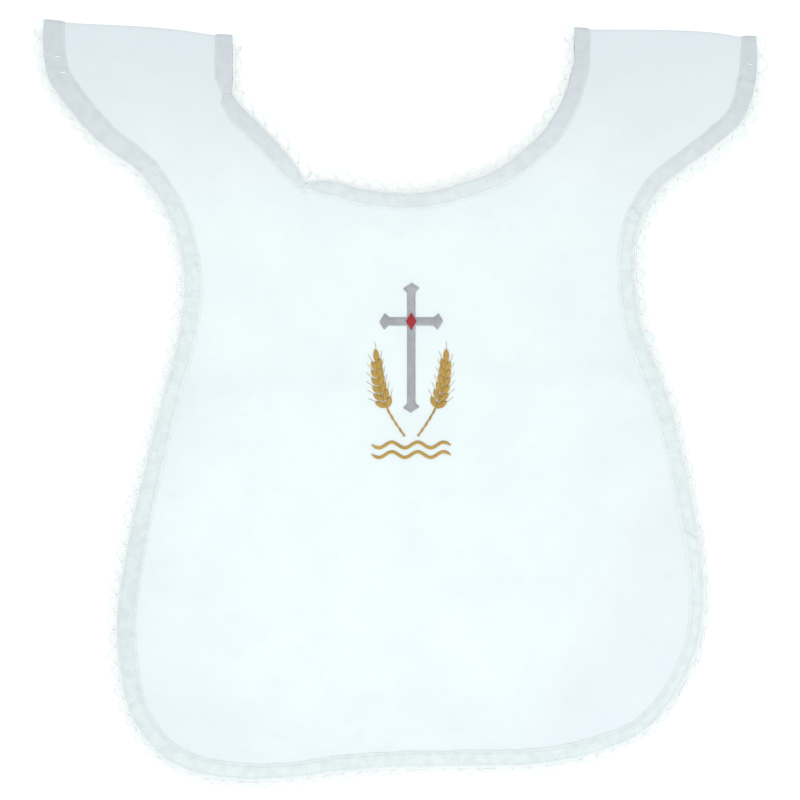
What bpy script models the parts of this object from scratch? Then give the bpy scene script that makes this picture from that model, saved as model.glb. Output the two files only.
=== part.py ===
"""A child's baptismal chasuble, laid flat with its front up.

Units are metres with +Z up. X runs across the garment, to the right as seen from above. Y runs up
it, from the hem to the shoulders. The floor is at Z = 0, and the middle of the garment's box is at
X = 0, Y = 0.

Front and back are two panels of the same outline that lie on each other. The front panel rolls over
each shoulder fold and meets the back panel just behind it. A tape lies on the outside of both
panels along the neck and along the outer edge, and a picot lace stands out past the tape.

Levels in the edge zone, from the floor up: back tape, back panel, front panel, front tape. Inside
the edge zone both panels step down, so that the back panel lies on the floor.
"""

import math
from collections import namedtuple

import bmesh
import bpy
import numpy as np
from mathutils import Vector
from mathutils.geometry import delaunay_2d_cdt

MM = 0.001

# Walls and levels
WALL = 1.0 * MM
SEAM_GAP = 0.3 * MM
LAYER = WALL + SEAM_GAP
BACK_TAPE_Z = WALL / 2
BACK_EDGE_Z = BACK_TAPE_Z + LAYER
FRONT_EDGE_Z = BACK_EDGE_Z + LAYER
FRONT_TAPE_Z = FRONT_EDGE_Z + LAYER
FOLD_AXIS_Z = (BACK_EDGE_Z + FRONT_EDGE_Z) / 2
MOTIF_Z = FRONT_EDGE_Z

# Edge zone, where both panels lie a step higher than in the middle
PLATEAU_WIDTH = 13.0 * MM
STEP_END = 18.0 * MM

# Shoulder roll
SEAM_BEHIND_FOLD = 3.0 * MM
ROLL_ANGLES_DEG = (45, 90, 135, 180)

# Mesh spacing
FOLD_STEP = 13.0 * MM
FILL_STEP = 36.0 * MM
FILL_CLEARANCE = 12.0 * MM
CREASE_STEP = 14.0 * MM
FINE_STEP = 1.0 * MM
RING_SLACK = 0.3 * MM

# Picot lace, whose arches also set the spacing of the points along every edge
LACE_PITCH = 9.2 * MM
LACE_FOOTING = 1.3 * MM
LACE_VALLEY = 2.2 * MM
LACE_HOLE_TIP = 5.0 * MM
LACE_REACH = 6.4 * MM
LACE_END_REACH = 5.4 * MM
LACE_HOLE_START = 0.17
LACE_DROOP = 1.2 * MM

Stop = namedtuple("Stop", "across up sharp")
Width = namedtuple("Width", "share width")
Tuck = namedtuple("Tuck", "across up height spread")
Crease = namedtuple("Crease", "across_1 up_1 across_2 up_2 height half_width")
Shoulder = namedtuple("Shoulder", "outer inner")
Finish = namedtuple("Finish", "colour roughness")

# Cut edge of the cloth from the left shoulder round the hem to the right shoulder, in mm
OUTER_EDGE = (
    Stop(-193.3, 204.5, True),
    Stop(-193.3, 190.0, False),
    Stop(-190.9, 175.2, False),
    Stop(-183.1, 162.5, False),
    Stop(-164.7, 140.9, False),
    Stop(-139.9, 121.5, False),
    Stop(-124.7, 97.7, False),
    Stop(-118.3, 76.1, False),
    Stop(-117.2, 54.5, False),
    Stop(-120.4, 32.9, False),
    Stop(-129.1, 0.5, False),
    Stop(-137.2, -31.9, False),
    Stop(-144.9, -64.3, False),
    Stop(-150.0, -91.3, False),
    Stop(-153.4, -118.3, False),
    Stop(-152.3, -141.0, False),
    Stop(-144.7, -172.3, False),
    Stop(-126.4, -193.9, False),
    Stop(-112.3, -200.3, False),
    Stop(-86.4, -204.1, False),
    Stop(-57.2, -203.0, False),
    Stop(-33.5, -199.8, False),
    Stop(-2.2, -197.6, False),
    Stop(31.3, -197.1, False),
    Stop(81.5, -194.9, False),
    Stop(107.5, -188.8, False),
    Stop(131.2, -177.5, False),
    Stop(150.3, -153.5, False),
    Stop(159.3, -131.8, False),
    Stop(162.5, -107.5, False),
    Stop(160.6, -80.5, False),
    Stop(157.1, -58.0, False),
    Stop(150.7, -27.0, False),
    Stop(143.6, 0.5, False),
    Stop(137.0, 18.5, False),
    Stop(129.9, 36.0, False),
    Stop(126.3, 55.6, False),
    Stop(125.0, 73.0, False),
    Stop(126.9, 92.3, False),
    Stop(139.3, 114.5, False),
    Stop(154.4, 126.9, False),
    Stop(169.6, 138.2, False),
    Stop(183.6, 151.7, False),
    Stop(190.9, 175.5, False),
    Stop(191.2, 195.4, True),
)

# Cut edge of the neck from the left shoulder round the chest to the right shoulder, in mm
NECK_EDGE = (
    Stop(-91.4, 195.9, True),
    Stop(-91.4, 180.0, False),
    Stop(-91.8, 165.8, True),
    Stop(-89.1, 162.0, False),
    Stop(-76.7, 149.0, False),
    Stop(-62.6, 133.9, False),
    Stop(-51.3, 117.4, True),
    Stop(-41.6, 119.0, False),
    Stop(-24.3, 115.0, False),
    Stop(-2.2, 112.0, False),
    Stop(16.7, 113.4, False),
    Stop(36.2, 118.8, False),
    Stop(52.7, 125.8, False),
    Stop(63.7, 133.9, False),
    Stop(78.8, 149.0, False),
    Stop(87.8, 165.8, False),
    Stop(92.4, 182.0, False),
    Stop(92.9, 200.2, True),
)

# The tables' own zero lies this far from the middle of the garment's box, in mm
TABLE_MIDDLE = (-1.05, -1.95)

# Width of the tape at each share of the way along its edge, in mm
OUTER_TAPE = (
    Width(0.0, 11.5),
    Width(0.05, 11.8),
    Width(0.10, 9.8),
    Width(0.19, 8.8),
    Width(0.30, 9.8),
    Width(0.40, 9.6),
    Width(0.45, 8.2),
    Width(0.52, 8.6),
    Width(0.60, 8.4),
    Width(0.66, 6.8),
    Width(0.72, 7.6),
    Width(0.80, 9.4),
    Width(0.88, 8.2),
    Width(0.95, 9.2),
    Width(1.0, 10.2),
)
NECK_TAPE = (
    Width(0.0, 9.4),
    Width(0.075, 9.5),
    Width(0.104, 6.6),
    Width(0.135, 9.5),
    Width(0.28, 9.0),
    Width(0.323, 5.4),
    Width(0.355, 8.6),
    Width(0.40, 8.8),
    Width(0.60, 9.2),
    Width(0.78, 9.8),
    Width(0.90, 9.0),
    Width(1.0, 8.6),
)

# Small folds that lift the front tapes where they were eased round a bend, in mm
NECK_TUCKS = (
    Tuck(-91.0, 164.0, 1.0, 4.0),
    Tuck(-52.0, 119.0, 1.0, 4.5),
)
OUTER_TUCKS = (
    Tuck(-139.9, 121.5, 0.5, 6.0),
    Tuck(127.5, 101.5, 0.8, 5.0),
    Tuck(158.5, -72.0, 0.6, 6.0),
)

# Pressed creases that stand up from the front panel, in mm
CREASES = (
    Crease(-95.0, 8.0, -28.0, 10.5, 0.9, 5.0),
    Crease(34.0, 12.0, 118.0, 15.5, 1.1, 5.0),
    Crease(2.0, -42.0, 9.0, -178.0, 0.8, 4.5),
)

# Chest motif, in mm
MOTIF_ACROSS = 5.0
CROSS_TOP = 63.5
CROSS_FOOT = -6.0
CROSS_BAR_UP = 43.0
CROSS_BAR_REACH = 17.0
CROSS_ARM_HALF = 2.2
CROSS_BUD_HALF = 4.4
CROSS_BUD_DEPTH = 5.0
LOZENGE_HALF = (2.9, 4.6)
EAR_FOOT = (3.6, -19.0)
EAR_TIP = (19.0, 26.0)
EAR_BULGE = 4.5
EAR_BARE_SHARE = 0.38
EAR_GRAINS = 6
GRAIN_REACH = 4.3
STALK_HALF = 0.75
WAVE_HALF_LENGTH = 21.0
WAVE_LENGTH = 14.0
WAVE_HEIGHT = 1.5
WAVE_HALF_WIDTH = 0.8
WAVES_UP = {"embroidery_wave_upper": -23.8, "embroidery_wave_lower": -29.0}
WAVE_STEPS = 24

# Finishes
CLOTH = Finish((0.88, 0.955, 0.95), 0.85)
CLOTH_BACK = Finish((0.86, 0.94, 0.94), 0.85)
TAPE = Finish((0.70, 0.765, 0.765), 0.75)
LACE = Finish((0.83, 0.87, 0.875), 0.7)
SILVER_THREAD = Finish((0.55, 0.56, 0.60), 0.45)
GOLD_THREAD = Finish((0.62, 0.43, 0.12), 0.4)
RED_THREAD = Finish((0.48, 0.03, 0.05), 0.45)


def clear_scene():
    """Remove every object that the file opened with."""
    for old in list(bpy.data.objects):
        bpy.data.objects.remove(old, do_unlink=True)


def make_collection(name):
    """Make and link the collection that holds the garment's pieces."""
    collection = bpy.data.collections.new(name)
    bpy.context.scene.collection.children.link(collection)
    return collection


def make_material(name, finish):
    """Give a matt Principled material in the finish's colour."""
    material = bpy.data.materials.new(name)
    material.use_nodes = True
    shader = material.node_tree.nodes["Principled BSDF"]
    shader.inputs["Base Color"].default_value = (*finish.colour, 1.0)
    shader.inputs["Roughness"].default_value = finish.roughness
    shader.inputs["Metallic"].default_value = 0.0
    material.diffuse_color = (*finish.colour, 1.0)
    return material


def table_spots(places):
    """Turn places in the tables, in mm, into points of the garment, in metres."""
    return (np.array(places) - TABLE_MIDDLE) * MM


def smooth_line(stops, step):
    """Give evenly spaced points on the smooth line through the stops, in metres.

    The line breaks at the sharp stops, and each of them is one of its points.
    """
    spots = table_spots([(stop.across, stop.up) for stop in stops])
    lengths = np.linalg.norm(np.diff(spots, axis=0), axis=1)
    leaving, arriving = [], []
    for i, stop in enumerate(stops):
        before = spots[i] - spots[i - 1] if i else spots[1] - spots[0]
        after = spots[i + 1] - spots[i] if i < len(stops) - 1 else before
        before_length = np.linalg.norm(before)
        after_length = np.linalg.norm(after)
        if stop.sharp:
            arriving.append(before / before_length)
            leaving.append(after / after_length)
            continue
        slope = before / before_length * after_length + after / after_length * before_length
        slope = slope / (before_length + after_length)
        arriving.append(slope)
        leaving.append(slope)
    line, stretch = [], []
    for i, length in enumerate(lengths):
        for t in np.linspace(0.0, 1.0, max(2, round(length / FINE_STEP)) + 1):
            stretch.append(
                (2 * t**3 - 3 * t**2 + 1) * spots[i]
                + (t**3 - 2 * t**2 + t) * length * leaving[i]
                + (3 * t**2 - 2 * t**3) * spots[i + 1]
                + (t**3 - t**2) * length * arriving[i + 1]
            )
        if stops[i + 1].sharp:
            fine = np.array(stretch)
            line.extend(points_at(fine, even_distances(fine, step))[1 if line else 0 :])
            stretch = []
    return np.array(line)


def along_line(line):
    """Give the distance of each point from the line's start, along the line."""
    return np.concatenate([[0.0], np.cumsum(np.linalg.norm(np.diff(line, axis=0), axis=1))])


def points_at(line, distances):
    """Give the points at these distances along the line."""
    along = along_line(line)
    return np.column_stack([np.interp(distances, along, line[:, k]) for k in range(2)])


def even_distances(line, step):
    """Give evenly spaced distances from one end of the line to the other."""
    length = along_line(line)[-1]
    return np.linspace(0.0, length, max(2, round(length / step) + 1))


def outward_of(line, side):
    """Give the unit vector at each of the line's points that is square to it, to its right or left."""
    runs = np.diff(line, axis=0)
    runs = runs / np.linalg.norm(runs, axis=1)[:, None]
    run = np.vstack([runs[:1], runs[:-1] + runs[1:], runs[-1:]])
    run = run / np.linalg.norm(run, axis=1)[:, None]
    return np.column_stack([run[:, 1], -run[:, 0]]) * side


def distance_to(points, polygon):
    """Give each point's distance from a closed polygon."""
    points = np.asarray(points)
    nearest = np.full(len(points), np.inf)
    for start, end in zip(polygon, np.roll(polygon, -1, axis=0)):
        nearest = np.minimum(nearest, distance_to_run(points, start, end))
    return nearest


def distance_to_run(points, start, end):
    """Give each point's distance from one straight run."""
    run = end - start
    share = np.clip((points - start) @ run / max(run @ run, 1e-18), 0.0, 1.0)
    return np.linalg.norm(points - start - share[:, None] * run, axis=1)


def inside(points, polygon):
    """Say which points lie inside a closed polygon."""
    points = np.asarray(points)
    crossed = np.zeros(len(points), bool)
    for (x1, y1), (x2, y2) in zip(polygon, np.roll(polygon, -1, axis=0)):
        if y1 == y2:
            continue
        spans = (points[:, 1] < max(y1, y2)) & (points[:, 1] >= min(y1, y2))
        reach = x1 + (points[:, 1] - y1) * (x2 - x1) / (y2 - y1)
        crossed ^= spans & (points[:, 0] < reach)
    return crossed


OUTER_LINE = smooth_line(OUTER_EDGE, LACE_PITCH)
NECK_LINE = smooth_line(NECK_EDGE, LACE_PITCH)
OUTER_RIGHT_OF_LINE = 1.0
NECK_RIGHT_OF_LINE = -1.0
SHOULDERS = (
    Shoulder(OUTER_LINE[0], NECK_LINE[0]),
    Shoulder(OUTER_LINE[-1], NECK_LINE[-1]),
)


def fold_up(across):
    """Give how far up the shoulder fold is at this place across the garment."""
    shoulder = SHOULDERS[0] if across < 0 else SHOULDERS[1]
    run = shoulder.outer - shoulder.inner
    return shoulder.inner[1] + (across - shoulder.inner[0]) * run[1] / run[0]


def panel_outline(shoulder_drop):
    """Give the panel's outline as a closed loop, with its shoulders this far below the folds."""
    neck = NECK_LINE[::-1]
    loop = []
    for start, end, edge in (
        (OUTER_LINE[-1], neck[0], OUTER_LINE),
        (neck[-1], OUTER_LINE[0], neck),
    ):
        loop.extend(edge[:-1])
        steps = round(np.linalg.norm(end - start) / FOLD_STEP)
        loop.extend(start + (end - start) * k / steps for k in range(steps))
    loop = np.array(loop)
    for point in loop:
        if abs(point[1] - fold_up(point[0])) < FINE_STEP:
            point[1] -= shoulder_drop
    return loop


def offset_ring(outline, depth):
    """Give the points of the outline moved this far inwards, less those that come too near it."""
    before = outline - np.roll(outline, 1, axis=0)
    after = np.roll(outline, -1, axis=0) - outline
    before = before / np.linalg.norm(before, axis=1)[:, None]
    after = after / np.linalg.norm(after, axis=1)[:, None]
    square_before = np.column_stack([-before[:, 1], before[:, 0]])
    square_after = np.column_stack([-after[:, 1], after[:, 0]])
    square = square_before + square_after
    mitred = outline + square / (1 + (square_before * square_after).sum(axis=1))[:, None] * depth
    rounded = outline + square / np.linalg.norm(square, axis=1)[:, None] * depth
    too_far = distance_to(mitred, outline) > depth + RING_SLACK
    ring = np.where(too_far[:, None], rounded, mitred)
    return ring[distance_to(ring, outline) > depth - RING_SLACK]


def crease_lines(creases):
    """Give each crease's ridge and the two lines at its foot, as lists of points."""
    lines = []
    for crease in creases:
        start, end = table_spots(((crease.across_1, crease.up_1), (crease.across_2, crease.up_2)))
        run = end - start
        square = np.array((-run[1], run[0])) / np.linalg.norm(run)
        steps = round(np.linalg.norm(run) / CREASE_STEP)
        shares = np.arange(steps + 1) / steps
        ridge = start + shares[:, None] * run
        foot = square * crease.half_width * MM
        lines.extend([ridge, ridge[1:-1] + foot, ridge[1:-1] - foot])
    return lines


def crease_height(points, creases):
    """Give how high the creases lift the cloth at each point."""
    lift = np.zeros(len(points))
    for crease in creases:
        start, end = table_spots(((crease.across_1, crease.up_1), (crease.across_2, crease.up_2)))
        run = end - start
        share = np.clip((points - start) @ run / (run @ run), 0.0, 1.0)
        away = np.linalg.norm(points - start - share[:, None] * run, axis=1)
        fade = np.minimum(1.0, 5.0 * np.minimum(share, 1.0 - share))
        tent = np.clip(1.0 - away / (crease.half_width * MM), 0.0, 1.0)
        lift = np.maximum(lift, crease.height * MM * tent * fade)
    return lift


def add_object(name, bm, material, collection):
    """Turn a bmesh of the middle of a wall into an object with its whole wall."""
    bmesh.ops.remove_doubles(bm, verts=bm.verts, dist=0.02 * MM)
    bmesh.ops.recalc_face_normals(bm, faces=bm.faces)
    mesh = bpy.data.meshes.new(name)
    bm.to_mesh(mesh)
    bm.free()
    mesh.materials.append(material)
    piece = bpy.data.objects.new(name, mesh)
    collection.objects.link(piece)
    wall = piece.modifiers.new("wall", "SOLIDIFY")
    wall.thickness = WALL
    wall.offset = 0.0
    wall.use_even_offset = True
    return piece


def roll_over_shoulders(bm, edge_z):
    """Extrude the edges that lie on the shoulder folds round the roll and on to the back seam."""
    radius = edge_z - FOLD_AXIS_Z

    def on_fold(vertex):
        return abs(vertex.co.y - fold_up(vertex.co.x)) < 0.05 * MM

    rim = [edge for edge in bm.edges if edge.is_boundary and all(map(on_fold, edge.verts))]
    rows = [
        (radius * math.sin(math.radians(turn)), FOLD_AXIS_Z + radius * math.cos(math.radians(turn)))
        for turn in ROLL_ANGLES_DEG
    ]
    rows.append((-SEAM_BEHIND_FOLD, FOLD_AXIS_Z - radius))
    for past_fold, height in rows:
        grown = bmesh.ops.extrude_edge_only(bm, edges=rim)["geom"]
        for vertex in (part for part in grown if isinstance(part, bmesh.types.BMVert)):
            vertex.co.y = fold_up(vertex.co.x) + past_fold
            vertex.co.z = height
        rim = [part for part in grown if isinstance(part, bmesh.types.BMEdge)]


def panel(name, edge_z, creases, is_front, material, collection):
    """Make a panel: a filled outline with its edge zone raised, rolled over the shoulders in front."""
    outline = panel_outline(0.0)
    own_outline = outline if is_front else panel_outline(SEAM_BEHIND_FOLD + SEAM_GAP)
    lines = crease_lines(creases)
    points = list(own_outline)
    edges = []
    for depth in (PLATEAU_WIDTH, STEP_END):
        ring = offset_ring(outline, depth)
        first = len(points)
        points.extend(ring)
        edges.extend((first + k, first + (k + 1) % len(ring)) for k in range(len(ring)))
    for line in lines:
        first = len(points)
        points.extend(line)
        edges.extend((first + k, first + k + 1) for k in range(len(line) - 1))
    low, high = outline.min(axis=0), outline.max(axis=0)
    columns = np.arange(low[0], high[0], FILL_STEP)
    rows = np.arange(low[1], high[1], FILL_STEP * math.sqrt(0.75))
    grid = np.array(
        [(x + (k % 2) * FILL_STEP / 2, y) for k, y in enumerate(rows) for x in columns]
    )
    grid = grid[inside(grid, outline)]
    grid = grid[distance_to(grid, outline) > STEP_END + FILL_CLEARANCE]
    for line in lines:
        grid = grid[distance_to_run(grid, line[0], line[-1]) > FILL_CLEARANCE]
    points.extend(grid)
    found = delaunay_2d_cdt(
        [Vector(point) for point in points], edges, [list(range(len(own_outline)))], 1, 1e-6
    )
    spots = np.array([tuple(spot) for spot in found[0]])
    depth = distance_to(spots, outline)
    stepped = np.clip((depth - PLATEAU_WIDTH) / (STEP_END - PLATEAU_WIDTH), 0.0, 1.0)
    heights = edge_z - LAYER * stepped + crease_height(spots, creases)
    bm = bmesh.new()
    corners = [bm.verts.new((*spot, height)) for spot, height in zip(spots, heights)]
    for face in found[2]:
        middle = np.mean([spots[k] for k in face], axis=0)
        if inside([middle], own_outline)[0]:
            bm.faces.new([corners[k] for k in face])
    bmesh.ops.delete(bm, geom=[v for v in bm.verts if not v.link_faces], context="VERTS")
    if is_front:
        roll_over_shoulders(bm, edge_z)
    return add_object(name, bm, material, collection)


def tape(name, line, side, widths, tape_z, is_front, tucks, material, collection):
    """Make the flat tape that lies on a panel along this edge."""
    drop = 0.0 if is_front else SEAM_BEHIND_FOLD + SEAM_GAP
    shares = along_line(line) / along_line(line)[-1]
    width = np.interp(shares, *zip(*widths)) * MM
    edge = line.copy()
    inner = edge - outward_of(line, side) * width[:, None]
    for end in (0, -1):
        inner[end][0] = edge[end][0] - math.copysign(width[end], edge[end][0] * side)
        inner[end][1] = fold_up(inner[end][0]) - drop
        edge[end][1] -= drop
    lift = np.zeros(len(edge))
    for tuck in tucks:
        away = np.linalg.norm(edge - table_spots((tuck.across, tuck.up)), axis=1)
        lift += tuck.height * MM * np.exp(-((away / (tuck.spread * MM)) ** 2))
    bm = bmesh.new()
    pairs = [
        (bm.verts.new((*outer_point, tape_z + rise)), bm.verts.new((*inner_point, tape_z + rise)))
        for outer_point, inner_point, rise in zip(edge, inner, lift)
    ]
    for (outer_1, inner_1), (outer_2, inner_2) in zip(pairs, pairs[1:]):
        bm.faces.new((outer_1, outer_2, inner_2, inner_1))
    if is_front:
        roll_over_shoulders(bm, tape_z)
    return add_object(name, bm, material, collection)


def lace(name, line, side, edge_z, is_open, material, collection):
    """Make the picot lace past this edge: a footing and a row of arches, each with its gap."""
    outward = outward_of(line, side)
    places = np.arange(len(line))
    bm = bmesh.new()
    made = {}

    def spot(share, reach):
        """Give the vertex this many arches along and this far past the edge."""
        key = (round(share, 3), reach)
        if key not in made:
            x, y, out_x, out_y = (
                np.interp(share, places, values) for values in (*line.T, *outward.T)
            )
            past = reach + SEAM_GAP
            height = edge_z - LACE_DROOP * reach / LACE_REACH
            made[key] = bm.verts.new((x + out_x * past, y + out_y * past, height))
        return made[key]

    def valley(k):
        """Give the vertex between two arches, or the tip at an end of the lace."""
        return spot(k, LACE_VALLEY if 0 < k < len(line) - 1 else LACE_END_REACH)

    for k in range(len(line) - 1):
        foot = (spot(k, 0.0), spot(k + 1, 0.0))
        valleys = (valley(k), valley(k + 1))
        peak = spot(k + 0.5, LACE_REACH)
        if not is_open:
            bm.faces.new((foot[0], foot[1], valleys[1], peak, valleys[0]))
            continue
        base = (
            spot(k + LACE_HOLE_START, LACE_FOOTING),
            spot(k + 1 - LACE_HOLE_START, LACE_FOOTING),
        )
        tip = spot(k + 0.5, LACE_HOLE_TIP)
        bm.faces.new((foot[0], foot[1], valleys[1], base[1], base[0], valleys[0]))
        bm.faces.new((valleys[0], base[0], tip, peak))
        bm.faces.new((valleys[1], peak, tip, base[1]))
    return add_object(name, bm, material, collection)


def flat_motif(name, outline, height, material, collection):
    """Make a flat stitched shape from its outline in mm."""
    curve = bpy.data.curves.new(name, "CURVE")
    curve.dimensions = "2D"
    curve.fill_mode = "BOTH"
    curve.extrude = WALL / 2
    spline = curve.splines.new("POLY")
    spline.points.add(len(outline) - 1)
    for point, (across, up) in zip(spline.points, outline):
        x, y = table_spots((MOTIF_ACROSS + across, up))
        point.co = (x, y, 0.0, 1.0)
    spline.use_cyclic_u = True
    curve.materials.append(material)
    piece = bpy.data.objects.new(name, curve)
    piece.location.z = height
    collection.objects.link(piece)
    return piece


def cross_outline():
    """Give the cross's outline: four arms, each with a wider pointed end."""
    ends = (
        ((0.0, CROSS_TOP), (0.0, 1.0)),
        ((CROSS_BAR_REACH, CROSS_BAR_UP), (1.0, 0.0)),
        ((0.0, CROSS_FOOT), (0.0, -1.0)),
        ((-CROSS_BAR_REACH, CROSS_BAR_UP), (-1.0, 0.0)),
    )
    outline = []
    for (tip_x, tip_y), (out_x, out_y) in ends:
        for back, aside in (
            (CROSS_BUD_DEPTH, -CROSS_ARM_HALF),
            (CROSS_BUD_DEPTH / 2, -CROSS_BUD_HALF),
            (0.0, 0.0),
            (CROSS_BUD_DEPTH / 2, CROSS_BUD_HALF),
            (CROSS_BUD_DEPTH, CROSS_ARM_HALF),
        ):
            outline.append(
                (tip_x - out_x * back + out_y * aside, tip_y - out_y * back - out_x * aside)
            )
        turn = (out_x + out_y, out_y - out_x)
        outline.append((turn[0] * CROSS_ARM_HALF, CROSS_BAR_UP + turn[1] * CROSS_ARM_HALF))
    return outline


def ear_outline(mirror):
    """Give an ear's outline: a curved stalk with a saw edge of grains on both sides."""
    foot, tip = Vector(EAR_FOOT), Vector(EAR_TIP)
    run = tip - foot
    square = Vector((run.y, -run.x)).normalized()

    def on_stalk(share, aside):
        bow = square * (EAR_BULGE * math.sin(math.pi * share) + aside)
        return foot + run * share + bow

    sides = {}
    for side in (-1.0, 1.0):
        points = [on_stalk(0.0, side * STALK_HALF)]
        for k in range(EAR_GRAINS):
            root = EAR_BARE_SHARE + (1.0 - EAR_BARE_SHARE) * k / (EAR_GRAINS + 1)
            point = EAR_BARE_SHARE + (1.0 - EAR_BARE_SHARE) * (k + 1.1) / (EAR_GRAINS + 1)
            points.append(on_stalk(root, side * STALK_HALF))
            points.append(on_stalk((root + point) / 2 - 0.02, side * GRAIN_REACH * 0.75))
            points.append(on_stalk(point, side * GRAIN_REACH * (1.0 - 0.09 * k)))
        sides[side] = points
    outline = sides[-1.0] + [on_stalk(1.0, 0.0)] + sides[1.0][::-1]
    return [(mirror * point.x, point.y) for point in outline]


def wave_outline(up):
    """Give a wave's outline: a band of even width on a sine line."""
    upper, lower = [], []
    for k in range(WAVE_STEPS + 1):
        across = WAVE_HALF_LENGTH * (2 * k / WAVE_STEPS - 1)
        middle = up + WAVE_HEIGHT * math.sin(2 * math.pi * across / WAVE_LENGTH)
        upper.append((across, middle + WAVE_HALF_WIDTH))
        lower.append((across, middle - WAVE_HALF_WIDTH))
    return upper + lower[::-1]


def lozenge_outline():
    """Give the outline of the lozenge that lies on the crossing."""
    wide, tall = LOZENGE_HALF
    return [
        (0.0, CROSS_BAR_UP + tall),
        (wide, CROSS_BAR_UP),
        (0.0, CROSS_BAR_UP - tall),
        (-wide, CROSS_BAR_UP),
    ]


def build():
    """Build every piece of the garment."""
    clear_scene()
    garment = make_collection("baptismal_chasuble")
    cloth = make_material("white_cloth", CLOTH)
    cloth_back = make_material("white_cloth_back", CLOTH_BACK)
    tape_cloth = make_material("grey_white_tape", TAPE)
    lace_thread = make_material("white_lace", LACE)
    silver = make_material("silver_grey_thread", SILVER_THREAD)
    gold = make_material("gold_thread", GOLD_THREAD)
    red = make_material("red_thread", RED_THREAD)

    panel("front_panel", FRONT_EDGE_Z, CREASES, True, cloth, garment)
    panel("back_panel", BACK_EDGE_Z, (), False, cloth_back, garment)

    for place, line, side, widths, tucks, open_behind in (
        ("edge", OUTER_LINE, OUTER_RIGHT_OF_LINE, OUTER_TAPE, OUTER_TUCKS, True),
        ("neck", NECK_LINE, NECK_RIGHT_OF_LINE, NECK_TAPE, NECK_TUCKS, False),
    ):
        for face, tape_z, lace_z, is_front, lifts, is_open in (
            ("front", FRONT_TAPE_Z, FRONT_EDGE_Z, True, tucks, True),
            ("back", BACK_TAPE_Z, BACK_EDGE_Z, False, (), open_behind),
        ):
            tape_name, lace_name = f"{place}_tape_{face}", f"{place}_lace_{face}"
            tape(tape_name, line, side, widths, tape_z, is_front, lifts, tape_cloth, garment)
            lace(lace_name, line, side, lace_z, is_open, lace_thread, garment)

    flat_motif("embroidery_cross", cross_outline(), MOTIF_Z, silver, garment)
    flat_motif("embroidery_lozenge", lozenge_outline(), MOTIF_Z + LAYER, red, garment)
    flat_motif("embroidery_ear_right", ear_outline(1.0), MOTIF_Z, gold, garment)
    flat_motif("embroidery_ear_left", ear_outline(-1.0), MOTIF_Z, gold, garment)
    for name, up in WAVES_UP.items():
        flat_motif(name, wave_outline(up), MOTIF_Z, gold, garment)


build()
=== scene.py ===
"""The looks of a child's baptismal chasuble, laid flat with its front up.

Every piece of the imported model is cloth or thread, so each one is replaced here by a finer piece that
lies at the same place and height: thin shells for the panels, folded tape with its puckers, lace and
embroidery worked in single threads, and the sewing that holds them.

Units are metres. X runs across the garment, to the right as seen from above, Y runs up it, from the
hem to the shoulders, and Z is up. Tables are in millimetres, from a zero of their own near the middle.
"""

import logging
import math
import random
from collections.abc import Callable, Sequence
from dataclasses import dataclass, field
from enum import Enum
from functools import cache
from typing import NamedTuple

import bmesh
import bpy
import numpy as np
from bmesh.types import BMEdge, BMesh, BMVert
from bpy.types import Material, Mesh, Node, NodeSocket, NodeTree, Object
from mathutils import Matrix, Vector, kdtree, noise


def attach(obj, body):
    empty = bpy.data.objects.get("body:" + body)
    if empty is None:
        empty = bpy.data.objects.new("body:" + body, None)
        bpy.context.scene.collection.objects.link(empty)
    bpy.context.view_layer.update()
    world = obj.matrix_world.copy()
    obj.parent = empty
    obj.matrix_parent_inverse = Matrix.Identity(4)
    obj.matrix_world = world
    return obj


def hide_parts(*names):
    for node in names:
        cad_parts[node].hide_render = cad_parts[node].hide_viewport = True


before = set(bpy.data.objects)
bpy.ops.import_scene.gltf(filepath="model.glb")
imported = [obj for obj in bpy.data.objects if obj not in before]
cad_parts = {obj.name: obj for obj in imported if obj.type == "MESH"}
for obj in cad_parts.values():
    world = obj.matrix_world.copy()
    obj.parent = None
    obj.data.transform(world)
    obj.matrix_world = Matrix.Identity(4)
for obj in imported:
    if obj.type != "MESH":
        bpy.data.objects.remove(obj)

REPORT = logging.getLogger("chasuble")
MM = 0.001

Colour = tuple[float, float, float]
Spot = tuple[float, float, float]
Place = tuple[float, float]
Sockets = dict[str, NodeSocket]

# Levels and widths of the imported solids: the middle of each panel in its edge zone, one layer, the axis
# of the shoulder rolls, the edge zone's width, and where the panels meet behind the fold
BACK_EDGE_Z = 1.8 * MM
FRONT_EDGE_Z = 3.1 * MM
LAYER = 1.3 * MM
FOLD_AXIS_Z = 2.45 * MM
PLATEAU_WIDTH = 13.0 * MM
SEAM_BEHIND_FOLD = 3.0 * MM
SEAM_GAP = 0.3 * MM

# Where the panels' soft step down ends, inside their cut edge
STEP_END = 46.0 * MM

# The panels' cloth, and how far the tapes' inner side lies from the axis of the rolls
CLOTH_THICKNESS = 0.45 * MM
PANEL_INSET = 0.5 * MM
TAPE_FOOT = 1.05 * MM

# The tapes hold this share of a shoulder fold flat at either end, and its bow fades over these depths
BOW_MARGIN = 0.12
BOW_FADE = (4.0 * MM, 16.0 * MM)

# Mesh attribute of painted shade and light: how much darker the cloth is painted at each point, or paler,
# as painted light, where below zero
SHADE_LIGHT_ATTRIBUTE = "tone"

# The tables' own zero lies this far from the middle of the garment's box, in mm
TABLE_MIDDLE = (-1.05, -1.95)


class Stop(NamedTuple):
    """A place that an edge runs through, in mm, and whether the edge bends sharply there."""

    across: float
    up: float
    sharp: bool = False


class Share(NamedTuple):
    """A value at a share of the way along an edge."""

    share: float
    value: float


class Pleat(NamedTuple):
    """A small fold across a tape: its place and sizes in mm, and how far it leans along the tape."""

    across: float
    up: float
    height: float
    spread: float
    steepness: float
    slant: float


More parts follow.
